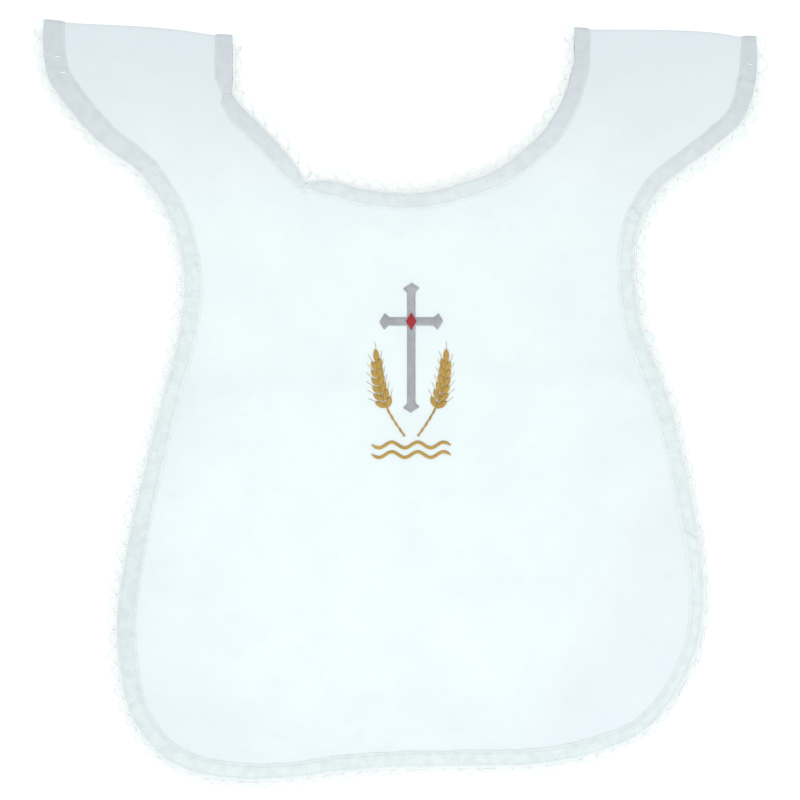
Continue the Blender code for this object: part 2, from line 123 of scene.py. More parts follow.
class Crease(NamedTuple):
    """A crease between two places, with its height and half its width, in mm.

    Its side on the right is gentler by the factor given, and its last value says how much painted shade
    lies along it.
    """

    across_1: float
    up_1: float
    across_2: float
    up_2: float
    height: float
    half_width: float
    gentle_side: float = 1.0
    grey: float = 0.0


class Shade(NamedTuple):
    """A soft area of painted shade: its middle, how far it reaches and how much greyer it is painted, in
    mm.
    """

    across: float
    up: float
    reach_across: float
    reach_up: float
    grey: float


class Bow(NamedTuple):
    """How far a fold bows up, in mm, with its top nearer the neck the more its lean is above 1."""

    height: float
    lean: float


# Cut edge of the cloth from the left shoulder round the hem to the right shoulder, in mm
OUTER_EDGE = (
    Stop(-193.3, 204.5, True),
    Stop(-193.3, 190.0),
    Stop(-190.9, 175.2),
    Stop(-183.1, 162.5),
    Stop(-164.7, 140.9),
    Stop(-139.9, 121.5),
    Stop(-124.7, 97.7),
    Stop(-118.3, 76.1),
    Stop(-117.2, 54.5),
    Stop(-120.4, 32.9),
    Stop(-129.1, 0.5),
    Stop(-137.2, -31.9),
    Stop(-144.9, -64.3),
    Stop(-150.0, -91.3),
    Stop(-153.4, -118.3),
    Stop(-152.3, -141.0),
    Stop(-144.7, -172.3),
    Stop(-126.4, -193.9),
    Stop(-112.3, -200.3),
    Stop(-86.4, -204.1),
    Stop(-57.2, -203.0),
    Stop(-33.5, -199.8),
    Stop(-2.2, -197.6),
    Stop(31.3, -197.1),
    Stop(81.5, -194.9),
    Stop(107.5, -188.8),
    Stop(131.2, -177.5),
    Stop(150.3, -153.5),
    Stop(159.3, -131.8),
    Stop(162.5, -107.5),
    Stop(160.6, -80.5),
    Stop(157.1, -58.0),
    Stop(150.7, -27.0),
    Stop(143.6, 0.5),
    Stop(137.0, 18.5),
    Stop(129.9, 36.0),
    Stop(126.3, 55.6),
    Stop(125.0, 73.0),
    Stop(126.9, 92.3),
    Stop(139.3, 114.5),
    Stop(154.4, 126.9),
    Stop(169.6, 138.2),
    Stop(183.6, 151.7),
    Stop(190.9, 175.5),
    Stop(191.2, 195.4, True),
)

# Cut edge of the neck from the left shoulder round the chest to the right shoulder, in mm
NECK_EDGE = (
    Stop(-91.4, 195.9, True),
    Stop(-91.4, 180.0),
    Stop(-91.8, 165.8, True),
    Stop(-89.1, 162.0),
    Stop(-76.7, 149.0),
    Stop(-62.6, 133.9),
    Stop(-51.3, 117.4, True),
    Stop(-41.6, 119.0),
    Stop(-24.3, 115.0),
    Stop(-2.2, 112.0),
    Stop(16.7, 113.4),
    Stop(36.2, 118.8),
    Stop(52.7, 125.8),
    Stop(63.7, 133.9),
    Stop(78.8, 149.0),
    Stop(87.8, 165.8),
    Stop(92.4, 182.0),
    Stop(92.9, 200.2, True),
)

# Width of the tape at each share of the way along its edge, in mm
OUTER_TAPE = (
    Share(0.0, 11.5),
    Share(0.05, 11.8),
    Share(0.10, 9.8),
    Share(0.19, 8.8),
    Share(0.30, 9.8),
    Share(0.40, 9.6),
    Share(0.45, 8.2),
    Share(0.52, 8.6),
    Share(0.60, 8.4),
    Share(0.66, 6.8),
    Share(0.72, 7.6),
    Share(0.80, 9.4),
    Share(0.88, 8.2),
    Share(0.95, 9.2),
    Share(0.984, 9.3),
    Share(1.0, 7.8),
)
NECK_TAPE = (
    Share(0.0, 9.4),
    Share(0.075, 9.5),
    Share(0.104, 6.6),
    Share(0.135, 9.5),
    Share(0.28, 9.0),
    Share(0.323, 5.4),
    Share(0.355, 8.6),
    Share(0.40, 8.8),
    Share(0.60, 9.2),
    Share(0.78, 9.8),
    Share(0.90, 9.0),
    Share(1.0, 8.6),
)

# How far the lace reaches past the edge, as a part of its full reach
OUTER_LACE_REACH = (
    Share(0.0, 1.0),
    Share(0.06, 0.9),
    Share(0.12, 1.05),
    Share(0.22, 0.92),
    Share(0.36, 1.0),
    Share(0.46, 0.82),
    Share(0.60, 0.78),
    Share(0.68, 0.62),
    Share(0.76, 0.72),
    Share(0.84, 0.95),
    Share(0.90, 1.1),
    Share(0.94, 1.25),
    Share(0.97, 1.1),
    Share(1.0, 1.0),
)
NECK_LACE_REACH = (
    Share(0.0, 0.8),
    Share(0.2, 0.95),
    Share(0.45, 1.05),
    Share(0.75, 0.9),
    Share(1.0, 0.85),
)

# How many fine threads cross the middle of an arch of the lace
OUTER_LACE_GROUND = (
    Share(0.0, 9.0),
    Share(0.12, 9.0),
    Share(0.22, 6.0),
    Share(0.36, 8.0),
    Share(0.46, 4.0),
    Share(0.66, 3.0),
    Share(0.78, 6.0),
    Share(0.86, 14.0),
    Share(0.96, 16.0),
    Share(0.985, 0.0),
    Share(1.0, 0.0),
)
NECK_LACE_GROUND = (
    Share(0.0, 8.0),
    Share(0.10, 5.0),
    Share(0.14, 1.0),
    Share(0.36, 1.0),
    Share(0.44, 6.0),
    Share(0.60, 7.0),
    Share(0.72, 11.0),
    Share(1.0, 11.0),
)

# Small folds where the front tape was eased round a bend or joined, in mm
OUTER_PLEATS = (
    Pleat(-191.0, 176.0, 0.35, 3.0, 2.0, 0.5),
    Pleat(-165.0, 141.0, 0.30, 4.0, -2.0, -0.6),
    Pleat(-139.9, 121.5, 0.55, 6.0, 3.0, 0.4),
    Pleat(-118.0, 70.0, 0.30, 4.0, 2.0, -0.4),
    Pleat(-152.8, -125.0, 0.30, 4.0, -2.0, 0.5),
    Pleat(-138.0, -181.0, 0.45, 4.0, 3.0, 0.3),
    Pleat(-30.0, -199.5, 0.30, 4.0, 2.0, 0.5),
    Pleat(92.0, -192.8, 0.35, 4.0, -2.0, 0.4),
    Pleat(151.0, -152.0, 0.40, 4.0, 3.0, 0.3),
    Pleat(158.5, -72.0, 0.60, 6.0, 6.0, 0.9),
    Pleat(140.0, 9.0, 0.30, 4.0, -2.0, -0.4),
    Pleat(127.5, 101.5, 0.80, 5.0, 5.0, 0.5),
    Pleat(176.0, 144.0, 0.35, 4.0, -3.0, 0.5),
    Pleat(190.5, 172.0, 0.45, 3.5, 4.0, 0.2),
)
NECK_PLEATS = (
    Pleat(-76.0, 148.5, 0.35, 4.0, 3.0, 0.4),
    Pleat(-24.0, 115.0, 0.30, 4.0, -2.0, 0.5),
    Pleat(52.0, 125.5, 0.45, 4.5, 3.0, 0.4),
    Pleat(74.0, 144.0, 0.35, 4.0, -3.0, 0.3),
    Pleat(92.0, 181.0, 0.30, 3.5, 3.0, 0.3),
)

# Pressed creases and soft folds of the panels, in mm
FRONT_CREASES = (
    Crease(-108.0, 5.5, -20.0, 9.5, 0.65, 8.0, 2.2, 0.26),
    Crease(22.0, 11.5, 136.0, 18.5, 0.75, 8.0, 2.2, 0.26),
    Crease(1.0, -36.0, 9.6, -190.0, 0.60, 8.0, 2.2, 0.12),
    Crease(-166.0, 176.0, -112.0, 150.0, 0.45, 9.0),
    Crease(-150.0, 196.0, -126.0, 128.0, 0.35, 12.0),
    Crease(112.0, 178.0, 160.0, 158.0, 0.45, 9.0),
    Crease(124.0, 192.0, 134.0, 132.0, 0.35, 12.0),
    Crease(-70.0, 116.0, -104.0, 62.0, 0.45, 10.0),
    Crease(62.0, 112.0, 98.0, 70.0, 0.40, 11.0),
    Crease(-96.0, -22.0, -122.0, -98.0, 0.50, 12.0),
    Crease(112.0, -28.0, 126.0, -112.0, 0.45, 12.0),
    Crease(-108.0, -128.0, -58.0, -172.0, 0.45, 11.0),
    Crease(58.0, -164.0, 112.0, -128.0, 0.45, 12.0),
    Crease(-60.0, -60.0, -34.0, -130.0, 0.35, 14.0),
    Crease(48.0, -40.0, 64.0, -118.0, 0.30, 14.0),
)
BACK_CREASES = (
    Crease(-112.0, 12.0, 124.0, 10.0, 0.45, 6.0, 1.5, 0.2),
    Crease(-6.0, 96.0, 2.0, -186.0, 0.40, 6.0, 1.5, 0.15),
    Crease(-160.0, 170.0, -108.0, 140.0, 0.30, 10.0),
    Crease(110.0, 176.0, 158.0, 150.0, 0.30, 10.0),
    Crease(-90.0, -30.0, -118.0, -110.0, 0.30, 12.0),
    Crease(104.0, -40.0, 124.0, -120.0, 0.30, 12.0),
    Crease(-100.0, -130.0, -52.0, -170.0, 0.25, 11.0),
)

# Soft areas of painted shade on the front panel and on the front's tapes, in mm
FRONT_SHADES = (
    Shade(160.0, -60.0, 62.0, 130.0, 0.42),
    Shade(130.0, 60.0, 45.0, 60.0, 0.35),
    Shade(-160.0, -110.0, 40.0, 80.0, 0.75),
    Shade(-124.0, 8.0, 20.0, 40.0, 0.75),
    Shade(0.0, -206.0, 120.0, 22.0, 0.30),
    Shade(0.0, -206.0, 170.0, 40.0, 0.50),
    Shade(-125.0, -180.0, 40.0, 35.0, 0.60),
    Shade(100.0, -175.0, 40.0, 35.0, 0.30),
)
TAPE_SHADES = (
    Shade(-150.0, -120.0, 50.0, 80.0, 0.32),
    Shade(186.0, 165.0, 26.0, 45.0, 0.22),
)

# How the left and the right shoulder fold bow up between their tapes
FOLD_BOWS = (Bow(1.35, 1.5), Bow(1.8, 0.62))

# Short thread ends that lie on the front's outer tape, in mm
THREAD_ENDS = ((-186.0, 185.8), (-182.8, 177.1), (187.4, 181.4))

# Middle of the flat ground under the chest embroidery, and half its size, in mm
MOTIF_MIDDLE = (5.0, 16.0)
MOTIF_HALF = (26.0, 50.0)


class Face(Enum):
    """Which side of the garment a piece is on, with the way it faces and its panel's edge level."""

    FRONT = (1.0, FRONT_EDGE_Z)
    BACK = (-1.0, BACK_EDGE_Z)

    @property
    def way(self) -> float:
        """Give 1 for a piece that faces up and -1 for one that faces down."""
        return self.value[0]

    @property
    def edge_z(self) -> float:
        """Give the level of the panel in its edge zone."""
        return self.value[1]

    @property
    def word(self) -> str:
        """Give the word that pieces' names use."""
        return self.name.lower()

    @property
    def drop(self) -> float:
        """Give how far below the shoulder fold the pieces of this side begin."""
        return 0.0 if self is Face.FRONT else SEAM_BEHIND_FOLD + SEAM_GAP


def table_spots(places: Sequence) -> np.ndarray:
    """Turn places in the tables, in mm, into points of the garment, in metres."""
    return (np.array(places, float) - TABLE_MIDDLE) * MM


def soft_noise(x: float, y: float, seed: float) -> float:
    """Give smooth noise from -1 to 1 that is the same in each run."""
    return noise.noise(Vector((x, y, seed)))


def smooth_step(low: float, high: float, value: np.ndarray | float) -> np.ndarray | float:
    """Rise smoothly from 0 at the low value to 1 at the high one."""
    share = np.clip((value - low) / (high - low), 0.0, 1.0)
    return share * share * (3.0 - 2.0 * share)


def smooth_fall(low: float, high: float, value: np.ndarray | float) -> np.ndarray | float:
    """Fall smoothly from 1 at the low value to 0 at the high one."""
    return 1.0 - smooth_step(low, high, value)


class EdgeLine:
    """An edge of the cloth: a smooth line through its stops, with the way out of the cloth."""

    FINE_STEP = 0.5 * MM
    TURN_REACH = 3.0 * MM
    END_REACH = 1.0 * MM

    def __init__(self, stops: Sequence[Stop], side: float) -> None:
        """Lay the line.

        Args:
            stops: The places that it runs through.
            side: 1 where the cloth's outside is to the right of the line, and -1 where to the left.
        """
        self.stops = stops
        self.side = side
        self.points, self.sharp_at = self.lay(stops)
        runs = np.linalg.norm(np.diff(self.points, axis=0), axis=1)
        self.along = np.concatenate([[0.0], np.cumsum(runs)])
        self.length = float(self.along[-1])

    def lay(self, stops: Sequence[Stop]) -> tuple[np.ndarray, list[int]]:
        """Lay fine points through the stops.

        Args:
            stops: The places that the line runs through.

        Returns:
            The points, and the numbers of those at sharp stops.
        """
        spots = table_spots([(stop.across, stop.up) for stop in stops])
        runs = np.diff(spots, axis=0)
        lengths = np.linalg.norm(runs, axis=1)
        leaving, arriving = [], []
        for i, stop in enumerate(stops):
            before = runs[max(i - 1, 0)] / lengths[max(i - 1, 0)]
            after = runs[min(i, len(runs) - 1)] / lengths[min(i, len(runs) - 1)]
            if stop.sharp:
                arriving.append(before)
                leaving.append(after)
                continue
            slope = before * lengths[i] + after * lengths[i - 1]
            slope = slope / (lengths[i] + lengths[i - 1])
            arriving.append(slope)
            leaving.append(slope)
        points, sharp_at = [spots[0]], [0]
        for i, length in enumerate(lengths):
            for t in np.linspace(0.0, 1.0, max(2, round(length / self.FINE_STEP)) + 1)[1:]:
                points.append(
                    (2 * t**3 - 3 * t**2 + 1) * spots[i]
                    + (t**3 - 2 * t**2 + t) * length * leaving[i]
                    + (3 * t**2 - 2 * t**3) * spots[i + 1]
                    + (t**3 - t**2) * length * arriving[i + 1]
                )
            if stops[i + 1].sharp:
                sharp_at.append(len(points) - 1)
        return np.array(points), sharp_at

    def spot(self, s: float) -> np.ndarray:
        """Give the point this far along, on a straight line past either end.

        Args:
            s: How far along the line.

        Returns:
            The point.
        """
        inside = min(max(s, 0.0), self.length)
        point = self.point_at(inside)
        return point + self.run(inside, self.END_REACH) * (s - inside) if s != inside else point

    def point_at(self, s: float) -> np.ndarray:
        """Give the point of the line itself this far along."""
        return np.array([np.interp(s, self.along, self.points[:, k]) for k in range(2)])

    def run(self, s: float, reach: float) -> np.ndarray:
        """Give the unit vector along the line, evened out over this reach on both sides."""
        first, last = map(self.point_at, np.clip([s - reach, s + reach], 0.0, self.length))
        return (last - first) / np.linalg.norm(last - first)

    def outward(self, s: float) -> np.ndarray:
        """Give the unit vector out of the cloth."""
        run = self.run(s, self.TURN_REACH)
        return np.array((run[1], -run[0])) * self.side

    def place_of(self, across: float, up: float) -> float:
        """Give how far along the line is nearest to this place of the tables."""
        away = np.linalg.norm(self.points - table_spots((across, up)), axis=1)
        return float(self.along[int(np.argmin(away))])

    def part(self, first: int, last: int) -> "EdgeLine":
        """Give the stretch between two of the line's sharp stops as a line of its own."""
        sharp = [i for i, stop in enumerate(self.stops) if stop.sharp]
        return EdgeLine(self.stops[sharp[first] : sharp[last] + 1], self.side)


OUTER_LINE = EdgeLine(OUTER_EDGE, 1.0)
NECK_LINE = EdgeLine(NECK_EDGE, -1.0)


def fold_run(across: float) -> tuple[np.ndarray, np.ndarray]:
    """Give the outer and the neck end of the shoulder fold on this side of the garment."""
    end = 0 if across < 0 else -1
    return OUTER_LINE.points[end], NECK_LINE.points[end]


def fold_up(across: float) -> float:
    """Give how far up the shoulder fold is at this place across the garment.

    Args:
        across: The place across the garment.

    Returns:
        The fold's place up the garment.
    """
    outer, inner = fold_run(across)
    run = outer - inner
    return float(inner[1] + (across - inner[0]) * run[1] / run[0])


def fold_bow(x: float, y: float) -> float:
    """Give how far up the slack cloth beside a shoulder fold is moved, between its two tapes.

    Args:
        x: The place across the garment.
        y: The place up it.

    Returns:
        The move up the garment.
    """
    outer, inner = fold_run(x)
    share = (x - outer[0]) / (inner[0] - outer[0])
    between = min(max((share - BOW_MARGIN) / (1.0 - 2.0 * BOW_MARGIN), 0.0), 1.0)
    near = smooth_fall(*BOW_FADE, fold_up(x) - y)
    bow = FOLD_BOWS[x > 0]
    return float(bow.height * MM * math.sin(math.pi * between**bow.lean) * near)


def shade_at(shades: Sequence[Shade], points: np.ndarray) -> np.ndarray:
    """Give how much painted shade the soft areas add at these points.

    Args:
        shades: The soft areas of painted shade.
        points: Places on the cloth, one in each row.

    Returns:
        The added painted shade at each point.
    """
    grey = np.zeros(len(points))
    for shade in shades:
        away = (points - table_spots((shade.across, shade.up))) / MM
        away = away / (shade.reach_across, shade.reach_up)
        grey = grey + shade.grey * np.exp(-(away**2).sum(axis=1))
    return grey


class Nodes:
    """A node tree with short ways to add the nodes that the finishes use."""

    def __init__(self, tree: NodeTree) -> None:
        """Take the tree that the nodes go into."""
        self.tree = tree

    def add(self, kind: str, **settings: object) -> Node:
        """Add a node and set its options.

        Args:
            kind: The node's type.
            **settings: Its options by name.

        Returns:
            The node.
        """
        node = self.tree.nodes.new(kind)
        for name, value in settings.items():
            setattr(node, name, value)
        return node

    def feed(self, socket: NodeSocket, value: object) -> None:
        """Link a socket to another one, or set its value.

        Args:
            socket: The input.
            value: An output to link, or a plain value.
        """
        if isinstance(value, NodeSocket):
            self.tree.links.new(value, socket)
        else:
            socket.default_value = value

    def math(self, operation: str, *values: object) -> NodeSocket:
        """Add a Math node and give its result.

        Args:
            operation: What is worked out.
            *values: Outputs or plain values.

        Returns:
            The result.
        """
        node = self.add("ShaderNodeMath", operation=operation)
        for socket, value in zip(node.inputs, values):
            self.feed(socket, value)
        return node.outputs[0]

    def noise(self, vector: object, scale: object, detail: float) -> NodeSocket:
        """Add a Noise Texture and give its factor.

        Args:
            vector: Where the noise is read.
            scale: How fine it is.
            detail: Its levels of detail.

        Returns:
            The factor.
        """
        node = self.add("ShaderNodeTexNoise")
        self.feed(node.inputs["Vector"], vector)
        self.feed(node.inputs["Scale"], scale)
        node.inputs["Detail"].default_value = detail
        return node.outputs["Fac"]

    def between(self, value: object, low: float, high: float) -> NodeSocket:
        """Give the value's smooth rise from 0 at the low end to 1 at the high one.

        Args:
            value: An output or a plain value.
            low: Where the rise starts.
            high: Where it ends.

        Returns:
            The rise.
        """
        node = self.add("ShaderNodeMapRange", interpolation_type="SMOOTHSTEP")
        for socket, given in zip(node.inputs, (value, low, high)):
            self.feed(socket, given)
        return node.outputs[0]

    def mix(self, factor: object, first: object, second: object) -> NodeSocket:
        """Mix two colours and give the result.

        Args:
            factor: The share of the second.
            first: One colour.
            second: The other.

        Returns:
            The mixed colour.
        """
        node = self.add("ShaderNodeMix", data_type="RGBA")
        self.feed(node.inputs["Factor"], factor)
        for name, value in (("A", first), ("B", second)):
            socket = [s for s in node.inputs if s.name == name and s.type == "RGBA"][0]
            self.feed(socket, (*value, 1.0) if isinstance(value, tuple) else value)
        return [s for s in node.outputs if s.type == "RGBA"][0]

    def axes(self, vector: object) -> Sockets:
        """Split a vector and give its parts, by the names X, Y and Z.

        Args:
            vector: What is split.

        Returns:
            Its three parts.
        """
        node = self.add("ShaderNodeSeparateXYZ")
        self.feed(node.inputs[0], vector)
        return {socket.name: socket for socket in node.outputs}

    def stretched(self, vector: object, scale: Spot) -> NodeSocket:
        """Scale a vector by its own amount along each axis.

        Args:
            vector: What is scaled.
            scale: The amount along each axis.

        Returns:
            The scaled vector.
        """
        node = self.add("ShaderNodeMapping")
        self.feed(node.inputs["Vector"], vector)
        node.inputs["Scale"].default_value = scale
        return node.outputs[0]

    def object_coordinates(self) -> NodeSocket:
        """Give the piece's own coordinates, in metres."""
        return self.add("ShaderNodeTexCoord").outputs["Object"]


class Effects:
    """The node groups that several finishes share. Each is built once."""

    @staticmethod
    def group(
        name: str,
        inputs: dict[str, float],
        outputs: Sequence[str],
        fill: Callable[[Nodes, Sockets], Sockets],
    ) -> NodeTree:
        """Build a group with number inputs and outputs beside its Vector input.

        Args:
            name: The group's name.
            inputs: The inputs' names and their first values.
            outputs: The outputs' names.
            fill: Adds the nodes and gives the socket for each output.

        Returns:
            The group.
        """
        tree = bpy.data.node_groups.new(name, "ShaderNodeTree")
        face = tree.interface
        face.new_socket("Vector", in_out="INPUT", socket_type="NodeSocketVector")
        for title, value in inputs.items():
            socket = face.new_socket(title, in_out="INPUT", socket_type="NodeSocketFloat")
            socket.default_value = value
        for title in outputs:
            face.new_socket(title, in_out="OUTPUT", socket_type="NodeSocketFloat")
        nodes = Nodes(tree)
        entry = nodes.add("NodeGroupInput")
        leave = nodes.add("NodeGroupOutput")
        found = fill(nodes, {socket.name: socket for socket in entry.outputs if socket.name})
        for title, socket in found.items():
            nodes.feed(leave.inputs[title], socket)
        return tree

    @staticmethod
    @cache
    def weave() -> NodeTree:
        """Give the group of a plain weave with slubs: its height and how deep its gaps are.

        Returns:
            The group.
        """

        def fill(nodes: Nodes, given: Sockets) -> Sockets:
            """Cross two rows of threads, each a little uneven, and add thicker threads.

            Args:
                nodes: The group's node kit.
                given: The group's inputs by name.

            Returns:
                The group's outputs by name.
            """
            sway = nodes.noise(given["Vector"], 90.0, 2.0)
            axes = nodes.axes(given["Vector"])
            waves = []
            for axis in ("X", "Y"):
                place = nodes.math("MULTIPLY", axes[axis], given["Threads per metre"])
                place = nodes.math("MULTIPLY_ADD", sway, 1.3, place)
                waves.append(nodes.math("SINE", nodes.math("MULTIPLY", place, math.tau)))
            crossed = nodes.math("MULTIPLY", *waves)
            height = nodes.math("MULTIPLY_ADD", crossed, 0.5, 0.5)
            gaps = nodes.math("POWER", nodes.math("SUBTRACT", 1.0, height), 3.0)
            along = nodes.noise(nodes.stretched(given["Vector"], (1.0, 0.05, 1.0)), 1300.0, 1.0)
            across = nodes.noise(nodes.stretched(given["Vector"], (0.05, 1.0, 1.0)), 1300.0, 1.0)
            slubs = nodes.between(nodes.math("MAXIMUM", along, across), 0.55, 0.85)
            lifted = nodes.math("MULTIPLY_ADD", slubs, 0.8, height)
            return {"Height": lifted, "Gaps": gaps, "Slubs": slubs}

        inputs = {"Threads per metre": 1600.0}
        return Effects.group("plain_weave", inputs, ("Height", "Gaps", "Slubs"), fill)

    @staticmethod
    @cache
    def mottle() -> NodeTree:
        """Give the group of soft uneven patches, and of the smaller marks within them.

        Returns:
            The group.
        """

        def fill(nodes: Nodes, given: Sockets) -> Sockets:
            """Read noise at the patch size and at a fifth of it.

            Args:
                nodes: The group's node kit.
                given: The group's inputs by name.

            Returns:
                The group's outputs by name.
            """
            patches = nodes.noise(given["Vector"], given["Patches per metre"], 3.0)
            small = nodes.math("MULTIPLY", given["Patches per metre"], 5.0)
            marks = nodes.noise(given["Vector"], small, 2.0)
            return {
                "Patches": nodes.between(patches, 0.35, 0.68),
                "Marks": nodes.between(marks, 0.50, 0.72),
            }

        return Effects.group("mottle", {"Patches per metre": 60.0}, ("Patches", "Marks"), fill)

    @staticmethod
    @cache
    def twist() -> NodeTree:
        """Give the group of a twisted thread: the height of its plies and the grooves between them.

        Returns:
            The group.
        """

        def fill(nodes: Nodes, given: Sockets) -> Sockets:
            """Run slanting bands over the thread and break them up with fine noise.

            Args:
                nodes: The group's node kit.
                given: The group's inputs by name.

            Returns:
                The group's outputs by name.
            """
            axes = nodes.axes(given["Vector"])
            slant = nodes.math("ADD", axes["X"], axes["Y"])
            slant = nodes.math("MULTIPLY_ADD", axes["Z"], 1.6, slant)
            place = nodes.math("MULTIPLY", slant, given["Turns per metre"])
            fuzz = nodes.noise(given["Vector"], 2600.0, 2.0)
            place = nodes.math("MULTIPLY_ADD", fuzz, 0.6, place)
            band = nodes.math("SINE", nodes.math("MULTIPLY", place, math.tau))
            height = nodes.math("MULTIPLY_ADD", band, 0.5, 0.5)
            grooves = nodes.math("POWER", nodes.math("SUBTRACT", 1.0, height), 2.0)
            return {"Height": height, "Grooves": grooves}

        return Effects.group("thread_twist", {"Turns per metre": 1500.0}, ("Height", "Grooves"), fill)


@dataclass(frozen=True, kw_only=True)
class Finish:
    """What every finish has: a name, colours, and how rough and how fuzzy it is."""

    name: str
    colour: Colour
    deep_colour: Colour
    roughness: float
    sheen: float = 0.1

    def start(self) -> tuple[Material, Nodes, Node]:
        """Make the material and give it with its node kit and its shader.

        Returns:
            The material, its node kit and its shader.
        """
        material = bpy.data.materials.new(self.name)
        material.use_nodes = True
        material.diffuse_color = (*self.colour, 1.0)
        shader = material.node_tree.nodes["Principled BSDF"]
        shader.inputs["Roughness"].default_value = self.roughness
        shader.inputs["Sheen Weight"].default_value = self.sheen
        shader.inputs["Sheen Roughness"].default_value = 0.6
        shader.inputs["Specular IOR Level"].default_value = 0.25
        return material, Nodes(material.node_tree), shader

    @staticmethod
    def effect(nodes: Nodes, group: NodeTree, spots: object, **values: float) -> Node:
        """Place a shared group in a material with this material's own values.

        Args:
            nodes: The material's node kit.
            group: The shared group.
            spots: The coordinates that it reads.
            **values: Its other inputs by name.

        Returns:
            The group's node.
        """
        node = nodes.add("ShaderNodeGroup", node_tree=group)
        nodes.feed(node.inputs["Vector"], spots)
        for title, value in values.items():
            node.inputs[title.replace("_", " ")].default_value = value
        return node

    @staticmethod
    def emboss(
        nodes: Nodes, shader: Node, height: object, strength: float, depth: float
    ) -> None:
        """Let the height feed the shader's normal through a Bump node.

        Args:
            nodes: The material's node kit.
            shader: The material's shader.
            height: The output that gives the height.
            strength: The share of the bump that shows.
            depth: The real height of a full step.
        """
        bump = nodes.add("ShaderNodeBump")
        bump.inputs["Strength"].default_value = strength
        bump.inputs["Distance"].default_value = depth
        nodes.feed(bump.inputs["Height"], height)
        nodes.feed(shader.inputs["Normal"], bump.outputs[0])


@dataclass(frozen=True, kw_only=True)
class ClothFinish(Finish):
    """Woven cotton, with painted shade towards the shoulders, in the weave's gaps and where the mesh's
    attribute says so.

    The lilac field says how far the lower right corner takes a faint lilac cast. That corner begins
    where X less a part of Y is over the first of two values, and is full over the second.
    """

    SHOULDERS_FROM = (0.105, 0.225)
    CORNER_FROM = (0.148, 0.174)
    CORNER_SLANT = 0.49
    GAP_SHADE = 0.18
    TONE_SHADE = 0.42
    MOST_PALE = 0.07
    SLUB_GLOSS = 0.08

    shoulder_colour: Colour
    threads_per_metre: float = 1600.0
    weave_depth: float = 0.10 * MM
    patches_per_metre: float = 26.0
    patchiness: float
    lilac: float = 0.0

    @cache
    def material(self) -> Material:
        """Make the cloth's material, once.

        Returns:
            The material.
        """
        material, nodes, shader = self.start()
        spots = nodes.object_coordinates()
        weave = self.effect(
            nodes, Effects.weave(), spots, Threads_per_metre=self.threads_per_metre
        )
        mottle = self.effect(
            nodes, Effects.mottle(), spots, Patches_per_metre=self.patches_per_metre
        )
        tone = nodes.add("ShaderNodeAttribute", attribute_name=SHADE_LIGHT_ATTRIBUTE).outputs["Fac"]
        axes = nodes.axes(spots)
        # Painted shade towards the shoulders, where the light falls off, with a slight waver
        wander = nodes.math("MULTIPLY_ADD", nodes.noise(spots, 14.0, 2.0), 0.05, axes["Y"])
        high = nodes.between(wander, *self.SHOULDERS_FROM)
        ground = nodes.mix(high, self.colour, self.shoulder_colour)
        corner = nodes.math("MULTIPLY_ADD", axes["Y"], -self.CORNER_SLANT, axes["X"])
        corner = nodes.between(corner, *self.CORNER_FROM)
        ground = nodes.mix(nodes.math("MULTIPLY", corner, self.lilac), ground, LILAC)
        shade = nodes.math("MULTIPLY", mottle.outputs["Patches"], self.patchiness)
        # Painted shade in the weave's gaps
        shade = nodes.math("MULTIPLY_ADD", weave.outputs["Gaps"], self.GAP_SHADE, shade)
        shade = nodes.math("MULTIPLY_ADD", mottle.outputs["Marks"], self.patchiness * 0.6, shade)
        # Painted shade from the mesh's attribute
        shade = nodes.math("MULTIPLY_ADD", tone, self.TONE_SHADE, shade)
        colour = nodes.mix(shade, ground, self.deep_colour)
        # Painted light: where the attribute is below zero, the colour is scaled up
        painted_light = nodes.math("MAXIMUM", nodes.math("MULTIPLY", tone, -1.0), 0.0)
        scaled = nodes.add("ShaderNodeVectorMath", operation="SCALE")
        nodes.feed(scaled.inputs[0], colour)
        nodes.feed(scaled.inputs["Scale"], nodes.math("MULTIPLY_ADD", painted_light, self.MOST_PALE, 1.0))
        nodes.feed(shader.inputs["Base Color"], scaled.outputs[0])
        rough = nodes.math("MULTIPLY_ADD", weave.outputs["Slubs"], -self.SLUB_GLOSS, self.roughness)
        nodes.feed(shader.inputs["Roughness"], rough)
        self.emboss(nodes, shader, weave.outputs["Height"], 0.5, self.weave_depth)
        return material


@dataclass(frozen=True, kw_only=True)
class ThreadFinish(Finish):
    """Twisted thread, rougher and with painted shade in the grooves between its plies."""

    turns_per_metre: float = 1600.0
    twist_depth: float = 0.06 * MM

    @cache
    def material(self) -> Material:
        """Make the thread's material, once.

        Returns:
            The material.
        """
        material, nodes, shader = self.start()
        spots = nodes.object_coordinates()
        twist = self.effect(nodes, Effects.twist(), spots, Turns_per_metre=self.turns_per_metre)
        mottle = self.effect(nodes, Effects.mottle(), spots, Patches_per_metre=150.0)
        # Painted shade in the grooves between the plies; the patches are the thread's own uneven tone
        shade = nodes.math("MULTIPLY", twist.outputs["Grooves"], 0.45)
        shade = nodes.math("MULTIPLY_ADD", mottle.outputs["Patches"], 0.25, shade)
        nodes.feed(shader.inputs["Base Color"], nodes.mix(shade, self.colour, self.deep_colour))
        rough = nodes.math("MULTIPLY_ADD", twist.outputs["Grooves"], 0.15, self.roughness)
        nodes.feed(shader.inputs["Roughness"], rough)
        self.emboss(nodes, shader, twist.outputs["Height"], 0.6, self.twist_depth)
        return material


# What the lower right corner's faint lilac cast tends to
LILAC = (0.630, 0.668, 0.702)

